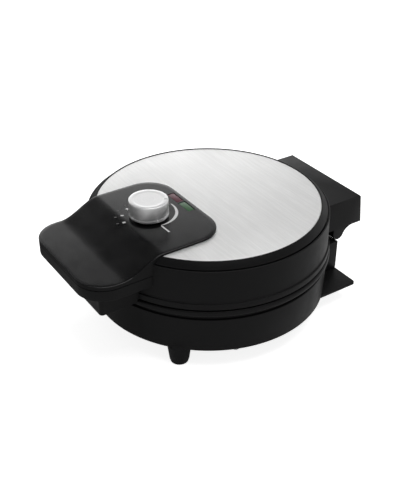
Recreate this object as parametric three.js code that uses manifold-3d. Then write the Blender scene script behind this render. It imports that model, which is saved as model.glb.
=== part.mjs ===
// A round countertop sandwich maker: a hinged lid over a base, each with its own heating plate.
// Millimetres, +Z up. The lid's hinge is at the rear (+Y), the handle at the front (-Y).
// The origin is on the table, under the middle of the whole object.

import * as THREE from 'three';
import * as BufferGeometryUtils from 'three/addons/utils/BufferGeometryUtils.js';
import Module from 'manifold-3d';

const wasm = await Module();
wasm.setup();

// Fits between pieces
const seat = 0.3; // gap between two pieces that rest on or fit in each other
const runGap = 0.5; // gap between pieces that turn past each other
const overrun = 5; // how far a cutting shape runs past what it cuts
const samePlace = 0.001; // outline points nearer than this are one point

// Round body, heights
const footHeight = 18;
const baseWallHeight = 37.3;
const baseLipHeight = 5.2;
const partingGap = 1;
const lidLipHeight = 5.8;
const lidWallHeight = 30.9;
const bezelRise = 5.3; // top of the lid wall to the steel top

// Round body, from its widest radius inwards
const baseLipRadius = 110.5;
const baseLipOverhang = 2; // lip beyond the wall below it
const baseDraft = 1.2; // how far the base's wall leans in down to its foot
const grooveHeight = 4.4; // groove in the base's wall under the lip
const grooveDepth = 2;
const lidLipInset = 1; // lid's lip behind the base's lip
const lidLipOverhang = 1.3;
const lidDraft = 0.2;
const bezelInset = 2; // bezel's foot behind the lid's wall
const bezelSlope = 6; // how far the bezel leans in up to the steel top
const shellWall = 2.5;
const edgeRound = 0.8; // small roundings of the moulded edges
const roundSides = 48;
const curveSteps = 7; // straight pieces in each arc of an outline
const roundShare = 0.3; // where the middle point of a two-step rounding lies

// Heating plates
const plateInset = 8; // plate's edge behind the base's lip
const plateGap = 0.6; // between the two plates when the lid is closed
const plateFloor = 3;
const pocketDepth = 10;
const plateRim = 8.5; // rim of the plate outside its pockets
const ridgeWidth = 9; // ridge between two neighbouring pockets
const pocketCorner = 9;
const pocketDraft = 4; // how far the pocket walls lean in towards the floor
const pocketCount = 4;
const pocketSteps = 5; // straight pieces in each arc of a pocket's outline
const plateRoom = 1; // between the plate's edge and the shell round it
const ledgeWidth = 6.5; // how far the plate lies on the shell's ledge
const ledgeThickness = 2.4;

// Heating element, reflector and the screws that hold them to the plate
const elementTube = 3.3; // radius
const elementInset = 33.5; // middle of the loop's tube inside the reflector's edge
const elementMouth = 26; // half the opening between the two ends, degrees
const elementTail = 20; // straight end beyond the loop
const elementBend = 12;
const loopPoints = 24; // points of the loop's centre line
const elementSteps = 32;
const elementSides = 6;
const reflectorRoom = 2.5; // between the reflector and the ledge
const reflectorSheet = 0.8;
const reflectorDepth = 8;
const reflectorSides = 32;
const leadHole = 5; // radius of the holes for the leads
const leadHoleX = 20;
const leadHoleY = 30;
const plateScrewInset = 15.5; // plate screws inside the reflector's edge
const screwCount = 3;
const screwTurn = 150; // angle of the first one from +X, degrees
const bossRadius = 4.5;
const screwRadius = 1.8;
const screwHeadRadius = 3.8;
const screwHeadHeight = 2;
const screwLength = 9;
const smallSides = 8;
const middleSides = 16;

// Steel top, bezel and the shelf that carries them
const discSheet = 1;
const bezelLedge = 6;
const bezelWall = 2.6;
const shelfDrop = 2; // shelf below the top of the lid wall
const shelfWidth = 14;
const shelfThickness = 2.5;

// Control panel and handle, one moulding on top and one below
const panelHalf = 57; // half width
const panelBehindKnob = 43.1; // knob's axis to the panel's rear edge
const panelRaise = 2; // its top above the steel top
const panelBevel = 1.5;
const panelCorner = 26;
const gripReach = 37.5; // front of the handle beyond the base's lip
const handleCorner = 25;
const handleDrop = 12; // handle top below the steel top
const gripLevel = 30; // level part of the handle, from its front
const sweepLength = 38; // the panel falls to the handle over this length
const sweepSteps = 8;
const handleThickness = 13.6;
const seamDrop = 3.5; // seam of the two mouldings below the handle's top
const rootHalf = 46; // the handle's root below the wing
const rootInset = 13; // the root's front behind the handle's front
const rootDrop = 3.3; // the root's underside below the lid's lower edge
const rootCorner = 3;
const panelWall = 2.5;
const panelRest = 2.5; // width of the panel's rim that lies on the steel top
const handleScrewX = 30;
const handleScrewInset = 7.7;

// Temperature knob and thermostat
const knobToSweep = 18.9; // knob's axis to where the panel starts to fall
const knobRadius = 17.3;
const knobHeight = 14.6;
const knobLift = 2.4; // underside of the cap above the panel
const knobRound = 1.6;
const skirtRadius = 13;
const skirtBore = 8;
const knobSides = 30;
const shaftRadius = 3;
const shaftIntoKnob = 9;
const thermostatRadius = 15;
const thermostatHeight = 10.5;
const bracketLength = 50;
const bracketWidth = 24;
const bracketSheet = 1.5;
const bracketDrop = 2.2; // bosses under the panel that hold the bracket
const bracketScrewX = 19.8;
const bracketScrewLength = 4.2;
const collarRadius = 5;

// Indicator lamps and their windows
const lensAside = 6; // middle of the two windows left of the knob's axis
const lensX = 9.25; // from there to the middle of each
const lensInset = 7; // middle of the windows from the panel's rear edge
const lensLength = 17;
const lensWidth = 7;
const lensFlange = 0.7; // how far the flange reaches past the window
const lensFlangeThickness = 1;
const lampRadius = 2.5;
const lampLength = 8;
const lampHolderWall = 1.3;
const lampHolderBase = 2;
const lampHolderEnd = 5;

// Hinge
const hingeBehindLip = 3.5; // hinge axis behind the base's lip
const hingeDrop = 6.5; // hinge axis below the base's top edge
const knuckleRadius = 6;
const lugRadius = 7.5;
const lugWidth = 12.5;
const lugInnerX = 23;
const lugFoot = 8; // depth of the lug where it stands on the post
const pinRadius = 2.5;
const pinHeadRadius = 4;
const pinHeadWidth = 2;
const knuckleSkin = 2.5; // closed end of the knuckle's bore
const hingeBlockHalf = 50;
const hingeBlockReach = 27; // rear of the hinge block behind the hinge axis
const hingeBlockLean = 3; // the block's top edge lies this far in front of its lower edge
const hingeBlockDrop = 15; // its top below the steel top
const hingeBlockChamfer = 1.5;
const hingeBlockSkirt = 2.1; // its lower edge below the lid's lower edge
const knuckleFillet = 12;
const postHalf = 52; // rear post of the base
const postReach = 2; // rear of the post behind the base's lip
const postRoom = 0.8; // between the post and the lid's knuckles

// Base cover, with the flange at the rear that keeps a wound-up cord in place
const coverThickness = 3;
const coverRoom = 2.3; // between the cover's edge and the wall round it
const flangeHalf = 80.5;
const flangeCorner = 3;
const ventLength = 44;
const ventWidth = 3;
const ventPitch = 9;
const ventCount = 6;
const coverScrewInset = 4.2; // screws inside the cover's edge
const coverScrewAngles = [20, 160, 200, 340]; // degrees from +X
const coverScrewLength = 14;

// Feet
const footRadius = 10.5;
const footTaper = 2;
const footInset = 7.8; // middle of a foot inside the wall's foot
const frontFootAngle = -48; // degrees from +X
const rearFootInset = 2; // middle of a rear foot inside the post's side
const footRise = 5; // how far a foot runs up into the shell
const footShoulder = 3; // how much narrower it ends there
const padHeight = 2.2;
const padRadius = 7.9;
const padStem = 3;
const padStemHeight = 6;

// Parts inside the base
const inletRadius = 5;
const inletWall = 1.6;
const inletFlange = 2;
const inletRise = 13; // middle of the cord's inlet above the base's floor
const terminalLength = 34;
const terminalDepth = 12;
const terminalHeight = 10;
const terminalInset = 48; // middle of the terminal block from the post's rear
const terminalWays = 3;
const leadRadius = 2;
const leadSteps = 16;
const leadSides = 8;
const fuseRadius = 2.2;
const fuseLength = 14;
const fuseX = 34;
const fuseY = 22;

// Radii, worked inwards from the base's lip
const baseWallRadius = baseLipRadius - baseLipOverhang;
const baseFootRadius = baseWallRadius - baseDraft;
const lidLipRadius = baseLipRadius - lidLipInset;
const lidFootRadius = lidLipRadius - lidLipOverhang;
const lidWallRadius = lidFootRadius - lidDraft;
const bezelRadius = lidWallRadius - bezelInset;
const discRadius = bezelRadius - bezelSlope;
const plateRadius = baseLipRadius - plateInset;
const pocketOuterRadius = plateRadius - plateRim;
const rimInner = plateRadius + plateRoom;
const ledgeInner = plateRadius - ledgeWidth;
const reflectorRadius = ledgeInner - reflectorRoom;
const elementLoop = reflectorRadius - elementInset;
const screwCircle = reflectorRadius - plateScrewInset;
const coverRadius = baseFootRadius - shellWall - coverRoom;
const coverScrewCircle = coverRadius - coverScrewInset;
const footCircle = baseFootRadius - footInset;

// Places from front to rear, measured from the body's axis
const handleReach = baseLipRadius + gripReach;
const sweepEnd = handleReach - gripLevel;
const sweepStart = sweepEnd - sweepLength;
const knobY = knobToSweep - sweepStart;
const panelBack = knobY + panelBehindKnob;
const lensY = panelBack - lensInset;
const rootReach = handleReach - rootInset;
const handleScrewY = handleScrewInset - handleReach;
const hingeY = baseLipRadius + hingeBehindLip;
const hingeBlockRear = hingeY + hingeBlockReach;
const postRear = baseLipRadius + postReach;
const terminalY = postRear - terminalInset;

// Heights above the table, added up from the sizes above
const baseFloor = footHeight;
const baseLipLow = baseFloor + baseWallHeight;
const baseTop = baseLipLow + baseLipHeight;
const lidFloor = baseTop + partingGap;
const lidLipTop = lidFloor + lidLipHeight;
const lidShoulder = lidLipTop + lidWallHeight;
const discTop = lidShoulder + bezelRise;
const parting = (baseTop + lidFloor) / 2;
const panelTop = discTop + panelRaise;
const handleTop = discTop - handleDrop;
const seamZ = handleTop - seamDrop;
const handleBottom = handleTop - handleThickness;
const rootBottom = lidFloor - rootDrop;
const hingeBlockLow = lidFloor - hingeBlockSkirt;
const inletZ = baseFloor + inletRise;
const hingeZ = baseTop - hingeDrop;
const coverTop = baseFloor - seat;
const coverLow = coverTop - coverThickness;
const knobLow = panelTop + knobLift;

// Measures of the heating set, down from the plane where the plates meet
const plateFace = plateGap / 2;
const plateBack = plateFace + pocketDepth + plateFloor;
const ledgeFace = plateBack + seat;
const reflectorFloor = plateBack + seat + reflectorDepth;
const reflectorBack = reflectorFloor + reflectorSheet;

// The whole object lies evenly about the origin from front to rear.
const centring = (handleReach - hingeBlockRear) / 2;

// Finishes
function finish(colour, roughness, metalness) {
  return new THREE.MeshStandardMaterial({ color: colour, roughness, metalness });
}

const blackPlastic = finish(0x26262a, 0.42, 0);
const satinBlack = finish(0x3a3a3e, 0.36, 0);
const brushedSteel = finish(0xd9dadb, 0.32, 1);
const silverKnob = finish(0xc9cacc, 0.3, 0.8);
const coatedAluminium = finish(0x2c2c2e, 0.55, 0.3);
const plainSteel = finish(0x9a9ca0, 0.4, 1);
const aluminisedSheet = finish(0xb4b6b9, 0.35, 1);
const heaterSheath = finish(0x5c5750, 0.5, 0.8);
const redLens = finish(0x8e1f24, 0.2, 0);
const greenLens = finish(0x1f6b32, 0.2, 0);
const lampGlass = finish(0xe8d9c8, 0.1, 0);
const phenolic = finish(0x2a2320, 0.6, 0);
const blackRubber = finish(0x161616, 0.8, 0);
const siliconeLead = finish(0xb9b2a4, 0.6, 0);

// Geometry with shared vertices, no empty triangles and its faces pointing out
function welded(geometry) {
  const bare = geometry.clone();
  bare.deleteAttribute('normal');
  bare.deleteAttribute('uv');
  const merged = BufferGeometryUtils.mergeVertices(bare);
  const corners = merged.index.array;
  const position = merged.attributes.position;
  const kept = [];
  const a = new THREE.Vector3();
  const b = new THREE.Vector3();
  const c = new THREE.Vector3();
  let volume = 0;
  for (let i = 0; i < corners.length; i += 3) {
    const [p, q, r] = [corners[i], corners[i + 1], corners[i + 2]];
    if (p !== q && q !== r && r !== p) {
      kept.push(p, q, r);
      a.fromBufferAttribute(position, p);
      b.fromBufferAttribute(position, q);
      c.fromBufferAttribute(position, r);
      volume += a.dot(b.cross(c));
    }
  }
  if (volume < 0) {
    kept.reverse();
  }
  merged.setIndex(kept);
  return merged;
}

function toSolid(geometry) {
  const merged = welded(geometry);
  return new wasm.Manifold(new wasm.Mesh({
    numProp: 3,
    vertProperties: new Float32Array(merged.attributes.position.array),
    triVerts: new Uint32Array(merged.index.array),
  }));
}

function fromSolid(solid) {
  const mesh = solid.getMesh();
  const geometry = new THREE.BufferGeometry();
  geometry.setAttribute('position', new THREE.Float32BufferAttribute(mesh.vertProperties, 3));
  geometry.setIndex(new THREE.Uint32BufferAttribute(mesh.triVerts, 1));
  return geometry;
}

function joined(first, ...others) {
  return fromSolid(others.reduce((sum, other) => sum.add(toSolid(other)), toSolid(first)));
}

function carved(first, ...cutters) {
  return fromSolid(cutters.reduce((rest, cutter) => rest.subtract(toSolid(cutter)), toSolid(first)));
}

function common(first, second) {
  return fromSolid(toSolid(first).intersect(toSolid(second)));
}

// A ring or disc turned about the Z axis from [radius, height] points
function turned(profile, sides = roundSides) {
  const points = profile.map(([radius, height]) => new THREE.Vector2(radius, height));
  points.push(points[0].clone());
  const geometry = new THREE.LatheGeometry(points, sides);
  geometry.rotateX(Math.PI / 2);
  return welded(geometry);
}

function disc(radius, low, high, sides = roundSides) {
  return turned([[0, low], [radius, low], [radius, high], [0, high]], sides);
}

function discAt(x, y, radius, low, high, sides = smallSides) {
  return disc(radius, low, high, sides).translate(x, y, 0);
}

// An outline's points, without the doubles where two of its curves meet
function outlinePoints(outline, steps = curveSteps) {
  const points = outline.extractPoints(steps).shape;
  return points.filter((point, i) => point.distanceTo(points[(i + 1) % points.length]) > samePlace);
}

function extruded(outline, options) {
  return new THREE.ExtrudeGeometry(new THREE.Shape(outlinePoints(outline)), options);
}

// A flat outline in X and Y raised from low to high
function raised(outline, low, high) {
  return extruded(outline, { depth: high - low, bevelEnabled: false }).translate(0, 0, low);
}

// An outline in Y and Z carried along X from left to right
function across(outline, left, right) {
  const geometry = extruded(outline, { depth: right - left, bevelEnabled: false });
  const axes = new THREE.Matrix4().makeBasis(
    new THREE.Vector3(0, 1, 0),
    new THREE.Vector3(0, 0, 1),
    new THREE.Vector3(1, 0, 0),
  );
  return geometry.applyMatrix4(axes).translate(left, 0, 0);
}

function block(xLow, xHigh, yLow, yHigh, zLow, zHigh) {
  const geometry = new THREE.BoxGeometry(xHigh - xLow, yHigh - yLow, zHigh - zLow);
  return geometry.translate((xLow + xHigh) / 2, (yLow + yHigh) / 2, (zLow + zHigh) / 2);
}

// A rectangle with rounded corners, from the front y to the rear y
function roundedPlan(half, front, rear, frontCorner, rearCorner) {
  const plan = new THREE.Shape();
  plan.absarc(half - frontCorner, front + frontCorner, frontCorner, -Math.PI / 2, 0, false);
  plan.absarc(half - rearCorner, rear - rearCorner, rearCorner, 0, Math.PI / 2, false);
  plan.absarc(rearCorner - half, rear - rearCorner, rearCorner, Math.PI / 2, Math.PI, false);
  plan.absarc(frontCorner - half, front + frontCorner, frontCorner, Math.PI, Math.PI * 1.5, false);
  return plan;
}

function polygon(points) {
  return new THREE.Shape(points.map(([along, up]) => new THREE.Vector2(along, up)));
}

// Round tube along a curve, closed at both ends
function tube(curve, radius, steps, sides) {
  const section = new THREE.Shape();
  for (let i = 0; i < sides; i += 1) {
    const angle = (2 * Math.PI * i) / sides;
    const [u, v] = [radius * Math.cos(angle), radius * Math.sin(angle)];
    if (i === 0) {
      section.moveTo(u, v);
    } else {
      section.lineTo(u, v);
    }
  }
  return new THREE.ExtrudeGeometry(section, { extrudePath: curve, steps, bevelEnabled: false });
}

function piece(name, geometry, material) {
  const mesh = new THREE.Mesh(geometry, material);
  mesh.name = name;
  return mesh;
}

function placed(mesh, x, y, z) {
  mesh.position.set(x, y, z);
  return mesh;
}

function group(...members) {
  const holder = new THREE.Group();
  holder.add(...members);
  return holder;
}

// A pan head screw with its shank pointing up from the head's upper face at z = 0
function screwShape(length) {
  return turned([
    [0, -screwHeadHeight],
    [screwHeadRadius - edgeRound, -screwHeadHeight],
    [screwHeadRadius, edgeRound - screwHeadHeight],
    [screwHeadRadius, 0],
    [screwRadius, 0],
    [screwRadius, length - screwRadius],
    [0, length],
  ], smallSides);
}

function screwHole(x, y, low, high) {
  return discAt(x, y, screwRadius + seat, low, high);
}

function onCircle(radius, degrees) {
  const angle = THREE.MathUtils.degToRad(degrees);
  return [radius * Math.cos(angle), radius * Math.sin(angle)];
}

// Heating set. Its plates meet at z = 0 and all of it lies below; the lid's set is turned over.

// Quarter pocket in the first quadrant, as wide at its mouth as the ridges and the rim leave
function pocketPlan(inset) {
  const side = ridgeWidth / 2 + inset;
  const reach = pocketOuterRadius - inset;
  const corner = pocketCorner - inset / 2;
  const inner = side + corner;
  // Where the corner circle touches both the straight side and the outer arc
  const along = Math.sqrt((reach - corner) ** 2 - inner ** 2);
  const turn = Math.atan2(inner, along);
  const plan = new THREE.Shape();
  plan.absarc(along, inner, corner, -Math.PI / 2, turn, false);
  plan.absarc(0, 0, reach, turn, Math.PI / 2 - turn, false);
  plan.absarc(inner, along, corner, Math.PI / 2 - turn, Math.PI, false);
  plan.absarc(inner, inner, corner, Math.PI, Math.PI * 1.5, false);
  return plan;
}

// The pocket narrows towards its floor: two outlines with the same points, joined by side walls.
function pocketCutter() {
  const mouth = outlinePoints(pocketPlan(0), pocketSteps);
  const floor = outlinePoints(pocketPlan(pocketDraft), pocketSteps);
  const depth = pocketDepth;
  const corners = [];
  for (const [outline, z] of [[floor, -plateFace - depth], [mouth, -plateFace], [mouth, overrun]]) {
    for (const point of outline) {
      corners.push(point.x, point.y, z);
    }
  }
  const count = mouth.length;
  const faces = [];
  for (let layer = 0; layer < 2; layer += 1) {
    for (let i = 0; i < count; i += 1) {
      const [a, b] = [layer * count + i, layer * count + ((i + 1) % count)];
      faces.push(a, b, b + count, a, b + count, a + count);
    }
  }
  for (const [p, q, r] of THREE.ShapeUtils.triangulateShape(floor, [])) {
    faces.push(r, q, p);
  }
  for (const [p, q, r] of THREE.ShapeUtils.triangulateShape(mouth, [])) {
    faces.push(2 * count + p, 2 * count + q, 2 * count + r);
  }
  const geometry = new THREE.BufferGeometry();
  geometry.setAttribute('position', new THREE.Float32BufferAttribute(corners, 3));
  geometry.setIndex(faces);
  return geometry;
}

function screwPlaces() {
  const places = [];
  for (let i = 0; i < screwCount; i += 1) {
    places.push(onCircle(screwCircle, screwTurn + (360 * i) / screwCount));
  }
  return places;
}

function plateShape() {
  const body = turned([
    [0, -plateBack],
    [plateRadius - edgeRound, -plateBack],
    [plateRadius, edgeRound - plateBack],
    [plateRadius, -plateFace - edgeRound],
    [plateRadius - edgeRound, -plateFace],
    [0, -plateFace],
  ]);
  const pockets = [];
  for (let i = 0; i < pocketCount; i += 1) {
    pockets.push(pocketCutter().rotateZ((2 * Math.PI * i) / pocketCount));
  }
  const bosses = screwPlaces().map(([x, y]) => (
    discAt(x, y, bossRadius, seat - reflectorFloor, -plateBack + edgeRound)
  ));
  const holes = screwPlaces().map(([x, y]) => (
    screwHole(x, y, -reflectorFloor, screwLength - reflectorBack)
  ));
  return carved(joined(carved(body, ...pockets), ...bosses), ...holes);
}

// A loop of tube that opens towards the rear, its two ends bent out and running straight
function elementShape() {
  const mouth = THREE.MathUtils.degToRad(elementMouth);
  const start = Math.PI / 2 + mouth;
  const end = Math.PI / 2 - mouth;
  const centreLine = [];
  for (let i = 0; i <= loopPoints; i += 1) {
    const angle = start + ((2 * Math.PI - 2 * mouth) * i) / loopPoints;
    centreLine.push([elementLoop * Math.cos(angle), elementLoop * Math.sin(angle)]);
  }
  const mouthX = elementLoop * Math.sin(mouth);
  const tailX = mouthX - elementBend * Math.cos(mouth);
  const bendY = elementLoop * Math.cos(end - Math.PI / 2) + elementBend;
  centreLine.unshift([-tailX, bendY + elementTail], [-tailX, bendY]);
  centreLine.push([tailX, bendY], [tailX, bendY + elementTail]);
  const z = -(plateBack + seat + elementTube);
  const path = new THREE.CatmullRomCurve3(centreLine.map(([x, y]) => new THREE.Vector3(x, y, z)));
  return tube(path, elementTube, elementSteps, elementSides);
}

function reflectorShape() {
  const pan = turned([
    [0, -reflectorBack],
    [reflectorRadius - reflectorSheet, -reflectorBack],
    [reflectorRadius, reflectorSheet - reflectorBack],
    [reflectorRadius, -ledgeFace],
    [reflectorRadius - reflectorSheet, -ledgeFace],
    [reflectorRadius - reflectorSheet, -reflectorFloor],
    [0, -reflectorFloor],
  ], reflectorSides);
  const holes = screwPlaces().map(([x, y]) => (
    screwHole(x, y, -reflectorBack - overrun, overrun - reflectorFloor)
  ));
  const leads = [-1, 1].map((side) => (
    discAt(side * leadHoleX, leadHoleY, leadHole, -reflectorBack - overrun, overrun - reflectorFloor)
  ));
  return carved(pan, ...holes, ...leads);
}

function heatingSet(level) {
  const plate = piece(`${level}_hot_plate`, plateShape(), coatedAluminium);
  const element = piece(`${level}_element`, elementShape(), heaterSheath);
  const reflector = piece(`${level}_reflector`, reflectorShape(), aluminisedSheet);
  const screws = screwPlaces().map(([x, y], i) => {
    const screw = piece(`${level}_plate_screw_${i + 1}`, screwShape(screwLength - seat), plainSteel);
    return placed(screw, x, y, -reflectorBack - seat);
  });
  return group(plate, element, reflector, ...screws);
}

// Base

// The front feet stand on a circle inside the wall, the rear ones there at the post's sides.
const [frontFootX, frontFootY] = onCircle(footCircle, frontFootAngle);
const rearFootX = postHalf - rearFootInset;
const rearFootY = Math.sqrt(footCircle ** 2 - rearFootX ** 2);
const footPlaces = [
  [frontFootX, frontFootY],
  [-frontFootX, frontFootY],
  [rearFootX, rearFootY],
  [-rearFootX, rearFootY],
];

function footShape(x, y) {
  const low = padHeight + seat;
  const foot = turned([
    [0, low],
    [footRadius - footTaper, low],
    [footRadius, baseFloor],
    [footRadius - footShoulder, baseFloor + footRise],
    [0, baseFloor + footRise],
  ], middleSides);
  return foot.translate(x, y, 0);
}

function padShape() {
  return turned([
    [0, 0],
    [padRadius - edgeRound, 0],
    [padRadius, edgeRound],
    [padRadius, padHeight],
    [padStem, padHeight],
    [padStem, padHeight + padStemHeight],
    [0, padHeight + padStemHeight],
  ], middleSides);
}

function padSocket(x, y) {
  return discAt(x, y, padStem + seat, 0, padHeight + padStemHeight + seat);
}

function coverScrewPlaces() {
  return coverScrewAngles.map((degrees) => onCircle(coverScrewCircle, degrees));
}

// Lug of the base that carries the hinge pin, standing on the rear post
function lugOutline(top) {
  const outline = new THREE.Shape();
  outline.moveTo(postRear - lugFoot, top - shellWall);
  outline.lineTo(postRear, top - shellWall);
  outline.lineTo(postRear, top);
  outline.absarc(hingeY, hingeZ, lugRadius, -Math.PI / 2, Math.PI, false);
  return outline;
}

const baseLedge = parting - ledgeFace;
const baseLedgeLow = baseLedge - ledgeThickness;
const postTop = hingeZ - knuckleRadius - postRoom;

// Round wall of the base with its lip and the ledge that carries the lower plate
function baseWall() {
  const grooveRadius = baseWallRadius - grooveDepth;
  const grooveLow = baseLipLow - grooveHeight;
  return turned([
    [baseFootRadius, baseFloor],
    [baseWallRadius, grooveLow],
    [grooveRadius, grooveLow + edgeRound],
    [grooveRadius, baseLipLow],
    [baseLipRadius - edgeRound, baseLipLow],
    [baseLipRadius, baseLipLow + edgeRound],
    [baseLipRadius, baseTop - edgeRound],
    [baseLipRadius - edgeRound, baseTop],
    [rimInner, baseTop],
    [rimInner, baseLedge],
    [ledgeInner, baseLedge],
    [ledgeInner, baseLedgeLow],
    [baseWallRadius - shellWall, baseLedgeLow],
    [baseFootRadius - shellWall, baseFloor],
  ]);
}

// Post at the rear that stands under the hinge, open below
function rearPost() {
  return carved(
    block(-postHalf, postHalf, 0, postRear, baseFloor, postTop),
    disc(baseFootRadius - shellWall, baseFloor - overrun, postTop + overrun),
  );
}

function postHollow() {
  return block(
    shellWall - postHalf,
    postHalf - shellWall,
    0,
    postRear - shellWall,
    baseFloor - overrun,
    baseLedgeLow - shellWall,
  );
}

function hingeLugs() {
  return [-1, 1].map((side) => {
    const inner = side * lugInnerX;
    const outer = side * (lugInnerX + lugWidth);
    return across(lugOutline(postTop), Math.min(inner, outer), Math.max(inner, outer));
  });
}

function inletHole() {
  const radius = inletRadius + inletWall + seat;
  return disc(radius, -overrun, shellWall + overrun, middleSides)
    .rotateX(-Math.PI / 2)
    .translate(0, postRear - shellWall, inletZ);
}

function lowerHousing() {
  const bosses = coverScrewPlaces().map(([x, y]) => (
    discAt(x, y, bossRadius, baseFloor, baseLedgeLow + edgeRound)
  ));
  const feet = footPlaces.map(([x, y]) => footShape(x, y));
  const sockets = footPlaces.map(([x, y]) => padSocket(x, y));
  const holes = coverScrewPlaces().map(([x, y]) => (
    screwHole(x, y, coverLow, coverLow + coverScrewLength)
  ));
  const pinHoles = [-1, 1].map((side) => pinBore(side, 0, lugInnerX + lugWidth + overrun));
  const walls = carved(joined(baseWall(), rearPost()), postHollow());
  return carved(
    joined(walls, ...hingeLugs(), ...bosses, ...feet),
    ...sockets,
    ...holes,
    ...pinHoles,
    inletHole(),
  );
}

// Bore for a hinge pin on one side of the hinge, between two distances from the middle
function pinBore(side, from, to) {
  const bore = disc(pinRadius + seat, from, to, middleSides).rotateY(side * Math.PI / 2);
  return bore.translate(0, hingeY, hingeZ);
}

function pinShape() {
  const shank = lugInnerX - seat;
  const end = hingeBlockHalf - knuckleSkin - seat;
  return turned([
    [0, shank - pinHeadWidth],
    [pinHeadRadius, shank - pinHeadWidth],
    [pinHeadRadius, shank],
    [pinRadius, shank],
    [pinRadius, end - edgeRound],
    [pinRadius - edgeRound, end],
    [0, end],
  ], middleSides);
}

function baseCover() {
  const round = disc(coverRadius, coverLow, coverTop);
  const flange = raised(
    roundedPlan(flangeHalf, 0, postRear, flangeCorner, flangeCorner),
    coverLow,
    coverTop,
  );
  const cuts = footPlaces.map(([x, y]) => discAt(x, y, footRadius + seat, 0, footHeight, middleSides));
  for (let i = 0; i < ventCount; i += 1) {
    const y = (i - (ventCount - 1) / 2) * ventPitch;
    const [front, rear] = [y - ventWidth / 2, y + ventWidth / 2];
    cuts.push(block(-ventLength / 2, ventLength / 2, front, rear, 0, footHeight));
  }
  cuts.push(...coverScrewPlaces().map(([x, y]) => screwHole(x, y, 0, footHeight)));
  return carved(joined(round, flange), ...cuts);
}

function inletBush() {
  const outer = inletRadius + inletWall;
  return turned([
    [inletRadius, -shellWall],
    [outer, -shellWall],
    [outer, seat],
    [outer + inletFlange, seat],
    [outer + inletFlange, seat + inletFlange],
    [inletRadius, seat + inletFlange],
  ], middleSides).rotateX(-Math.PI / 2);
}

function terminalShape() {
  const body = block(
    -terminalLength / 2,
    terminalLength / 2,
    -terminalDepth / 2,
    terminalDepth / 2,
    0,
    terminalHeight,
  );
  const wells = [];
  for (let i = 0; i < terminalWays; i += 1) {
    const x = ((i - (terminalWays - 1) / 2) * terminalLength) / terminalWays;
    wells.push(discAt(x, 0, screwRadius + seat, terminalHeight / 2, terminalHeight + overrun));
  }
  return carved(body, ...wells);
}

function lead(points, name) {
  const curve = new THREE.CatmullRomCurve3(points.map(([x, y, z]) => new THREE.Vector3(x, y, z)));
  return piece(name, tube(curve, leadRadius, leadSteps, leadSides), siliconeLead);
}

// Lead from the terminal block up to the hole in the lower reflector
function baseLead() {
  const low = coverTop + seat + terminalHeight + leadRadius + seat;
  const under = parting - reflectorBack - seat - leadRadius;
  return lead([
    [0, terminalY, low],
    [leadHoleX / 2, terminalY - terminalDepth / 2, (low + under) / 2],
    [leadHoleX, leadHoleY, under],
  ], 'base_lead');
}

function buildBase() {
  const heater = heatingSet('lower');
  heater.position.z = parting;
  const pads = ['front_right', 'front_left', 'rear_right', 'rear_left'].map((where, i) => {
    const [x, y] = footPlaces[i];
    return placed(piece(`foot_pad_${where}`, padShape(), blackRubber), x, y, 0);
  });
  const screws = coverScrewPlaces().map(([x, y], i) => {
    const screw = piece(`cover_screw_${i + 1}`, screwShape(coverScrewLength - seat * 2), plainSteel);
    return placed(screw, x, y, coverLow - seat);
  });
  const pins = [[-1, 'left'], [1, 'right']].map(([side, name]) => {
    const pin = piece(`hinge_pin_${name}`, pinShape(), plainSteel);
    pin.rotation.y = side * Math.PI / 2;
    return placed(pin, 0, hingeY, hingeZ);
  });
  const inlet = placed(piece('cord_inlet_bush', inletBush(), blackRubber), 0, postRear, inletZ);
  const terminal = piece('terminal_block', terminalShape(), phenolic);
  placed(terminal, 0, terminalY, coverTop + seat);
  return group(
    piece('lower_housing', lowerHousing(), blackPlastic),
    piece('base_cover', baseCover(), blackPlastic),
    heater,
    ...pads,
    ...screws,
    ...pins,
    inlet,
    terminal,
    baseLead(),
  );
}

// Lid

// The panel and handle from above, drawn in by inset all round
function handlePlan(inset) {
  return roundedPlan(
    panelHalf - inset,
    inset - handleReach,
    panelBack - inset,
    handleCorner - inset,
    panelCorner - inset,
  );
}

function rootPlan(inset) {
  return roundedPlan(
    rootHalf - inset,
    inset - rootReach,
    -inset,
    rootCorner - inset,
    rootCorner - inset,
  );
}

// Side view of the panel's top: level, then a smooth fall to the handle, closed far below
function sweepOutline(lowered) {
  const outline = [[overrun, panelTop - lowered]];
  for (let i = 0; i <= sweepSteps; i += 1) {
    const share = i / sweepSteps;
    const fallShare = share * share * (3 - 2 * share);
    outline.push([
      -sweepStart - (sweepEnd - sweepStart) * share,
      panelTop - lowered - (panelTop - handleTop) * fallShare,
    ]);
  }
  outline.push([-handleReach - overrun, handleTop - lowered]);
  outline.push([-handleReach - overrun, rootBottom]);
  outline.push([overrun, rootBottom]);
  return polygon(outline.reverse());
}

// The panel's plan with a chamfer round its level top
function bevelledPlan() {
  const options = {
    depth: panelTop - seamZ - panelBevel,
    bevelThickness: panelBevel,
    bevelSize: panelBevel,
    bevelOffset: -panelBevel,
    bevelSegments: 1,
  };
  return extruded(handlePlan(0), options).translate(0, 0, seamZ);
}

function lensPlaces() {
  return [[-lensAside - lensX, 'red'], [lensX - lensAside, 'green']];
}

// Skin of the panel and handle: the outer form less the same form drawn in by the wall
function panelSkin() {
  const wide = panelHalf + overrun;
  const outer = common(
    common(bevelledPlan(), raised(handlePlan(0), seamZ, panelTop)),
    across(sweepOutline(0), -wide, wide),
  );
  const hollow = common(
    raised(handlePlan(panelWall), seamZ - overrun, panelTop + overrun),
    across(sweepOutline(panelWall), -wide, wide),
  );
  // The steel top passes under the panel's rim.
  const room = carved(
    disc(discRadius + seat, seamZ - overrun, discTop + seat),
    raised(handlePlan(panelRest + seat), seamZ - overrun * 2, panelTop + overrun),
  );
  return carved(outer, hollow, room);
}

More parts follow.
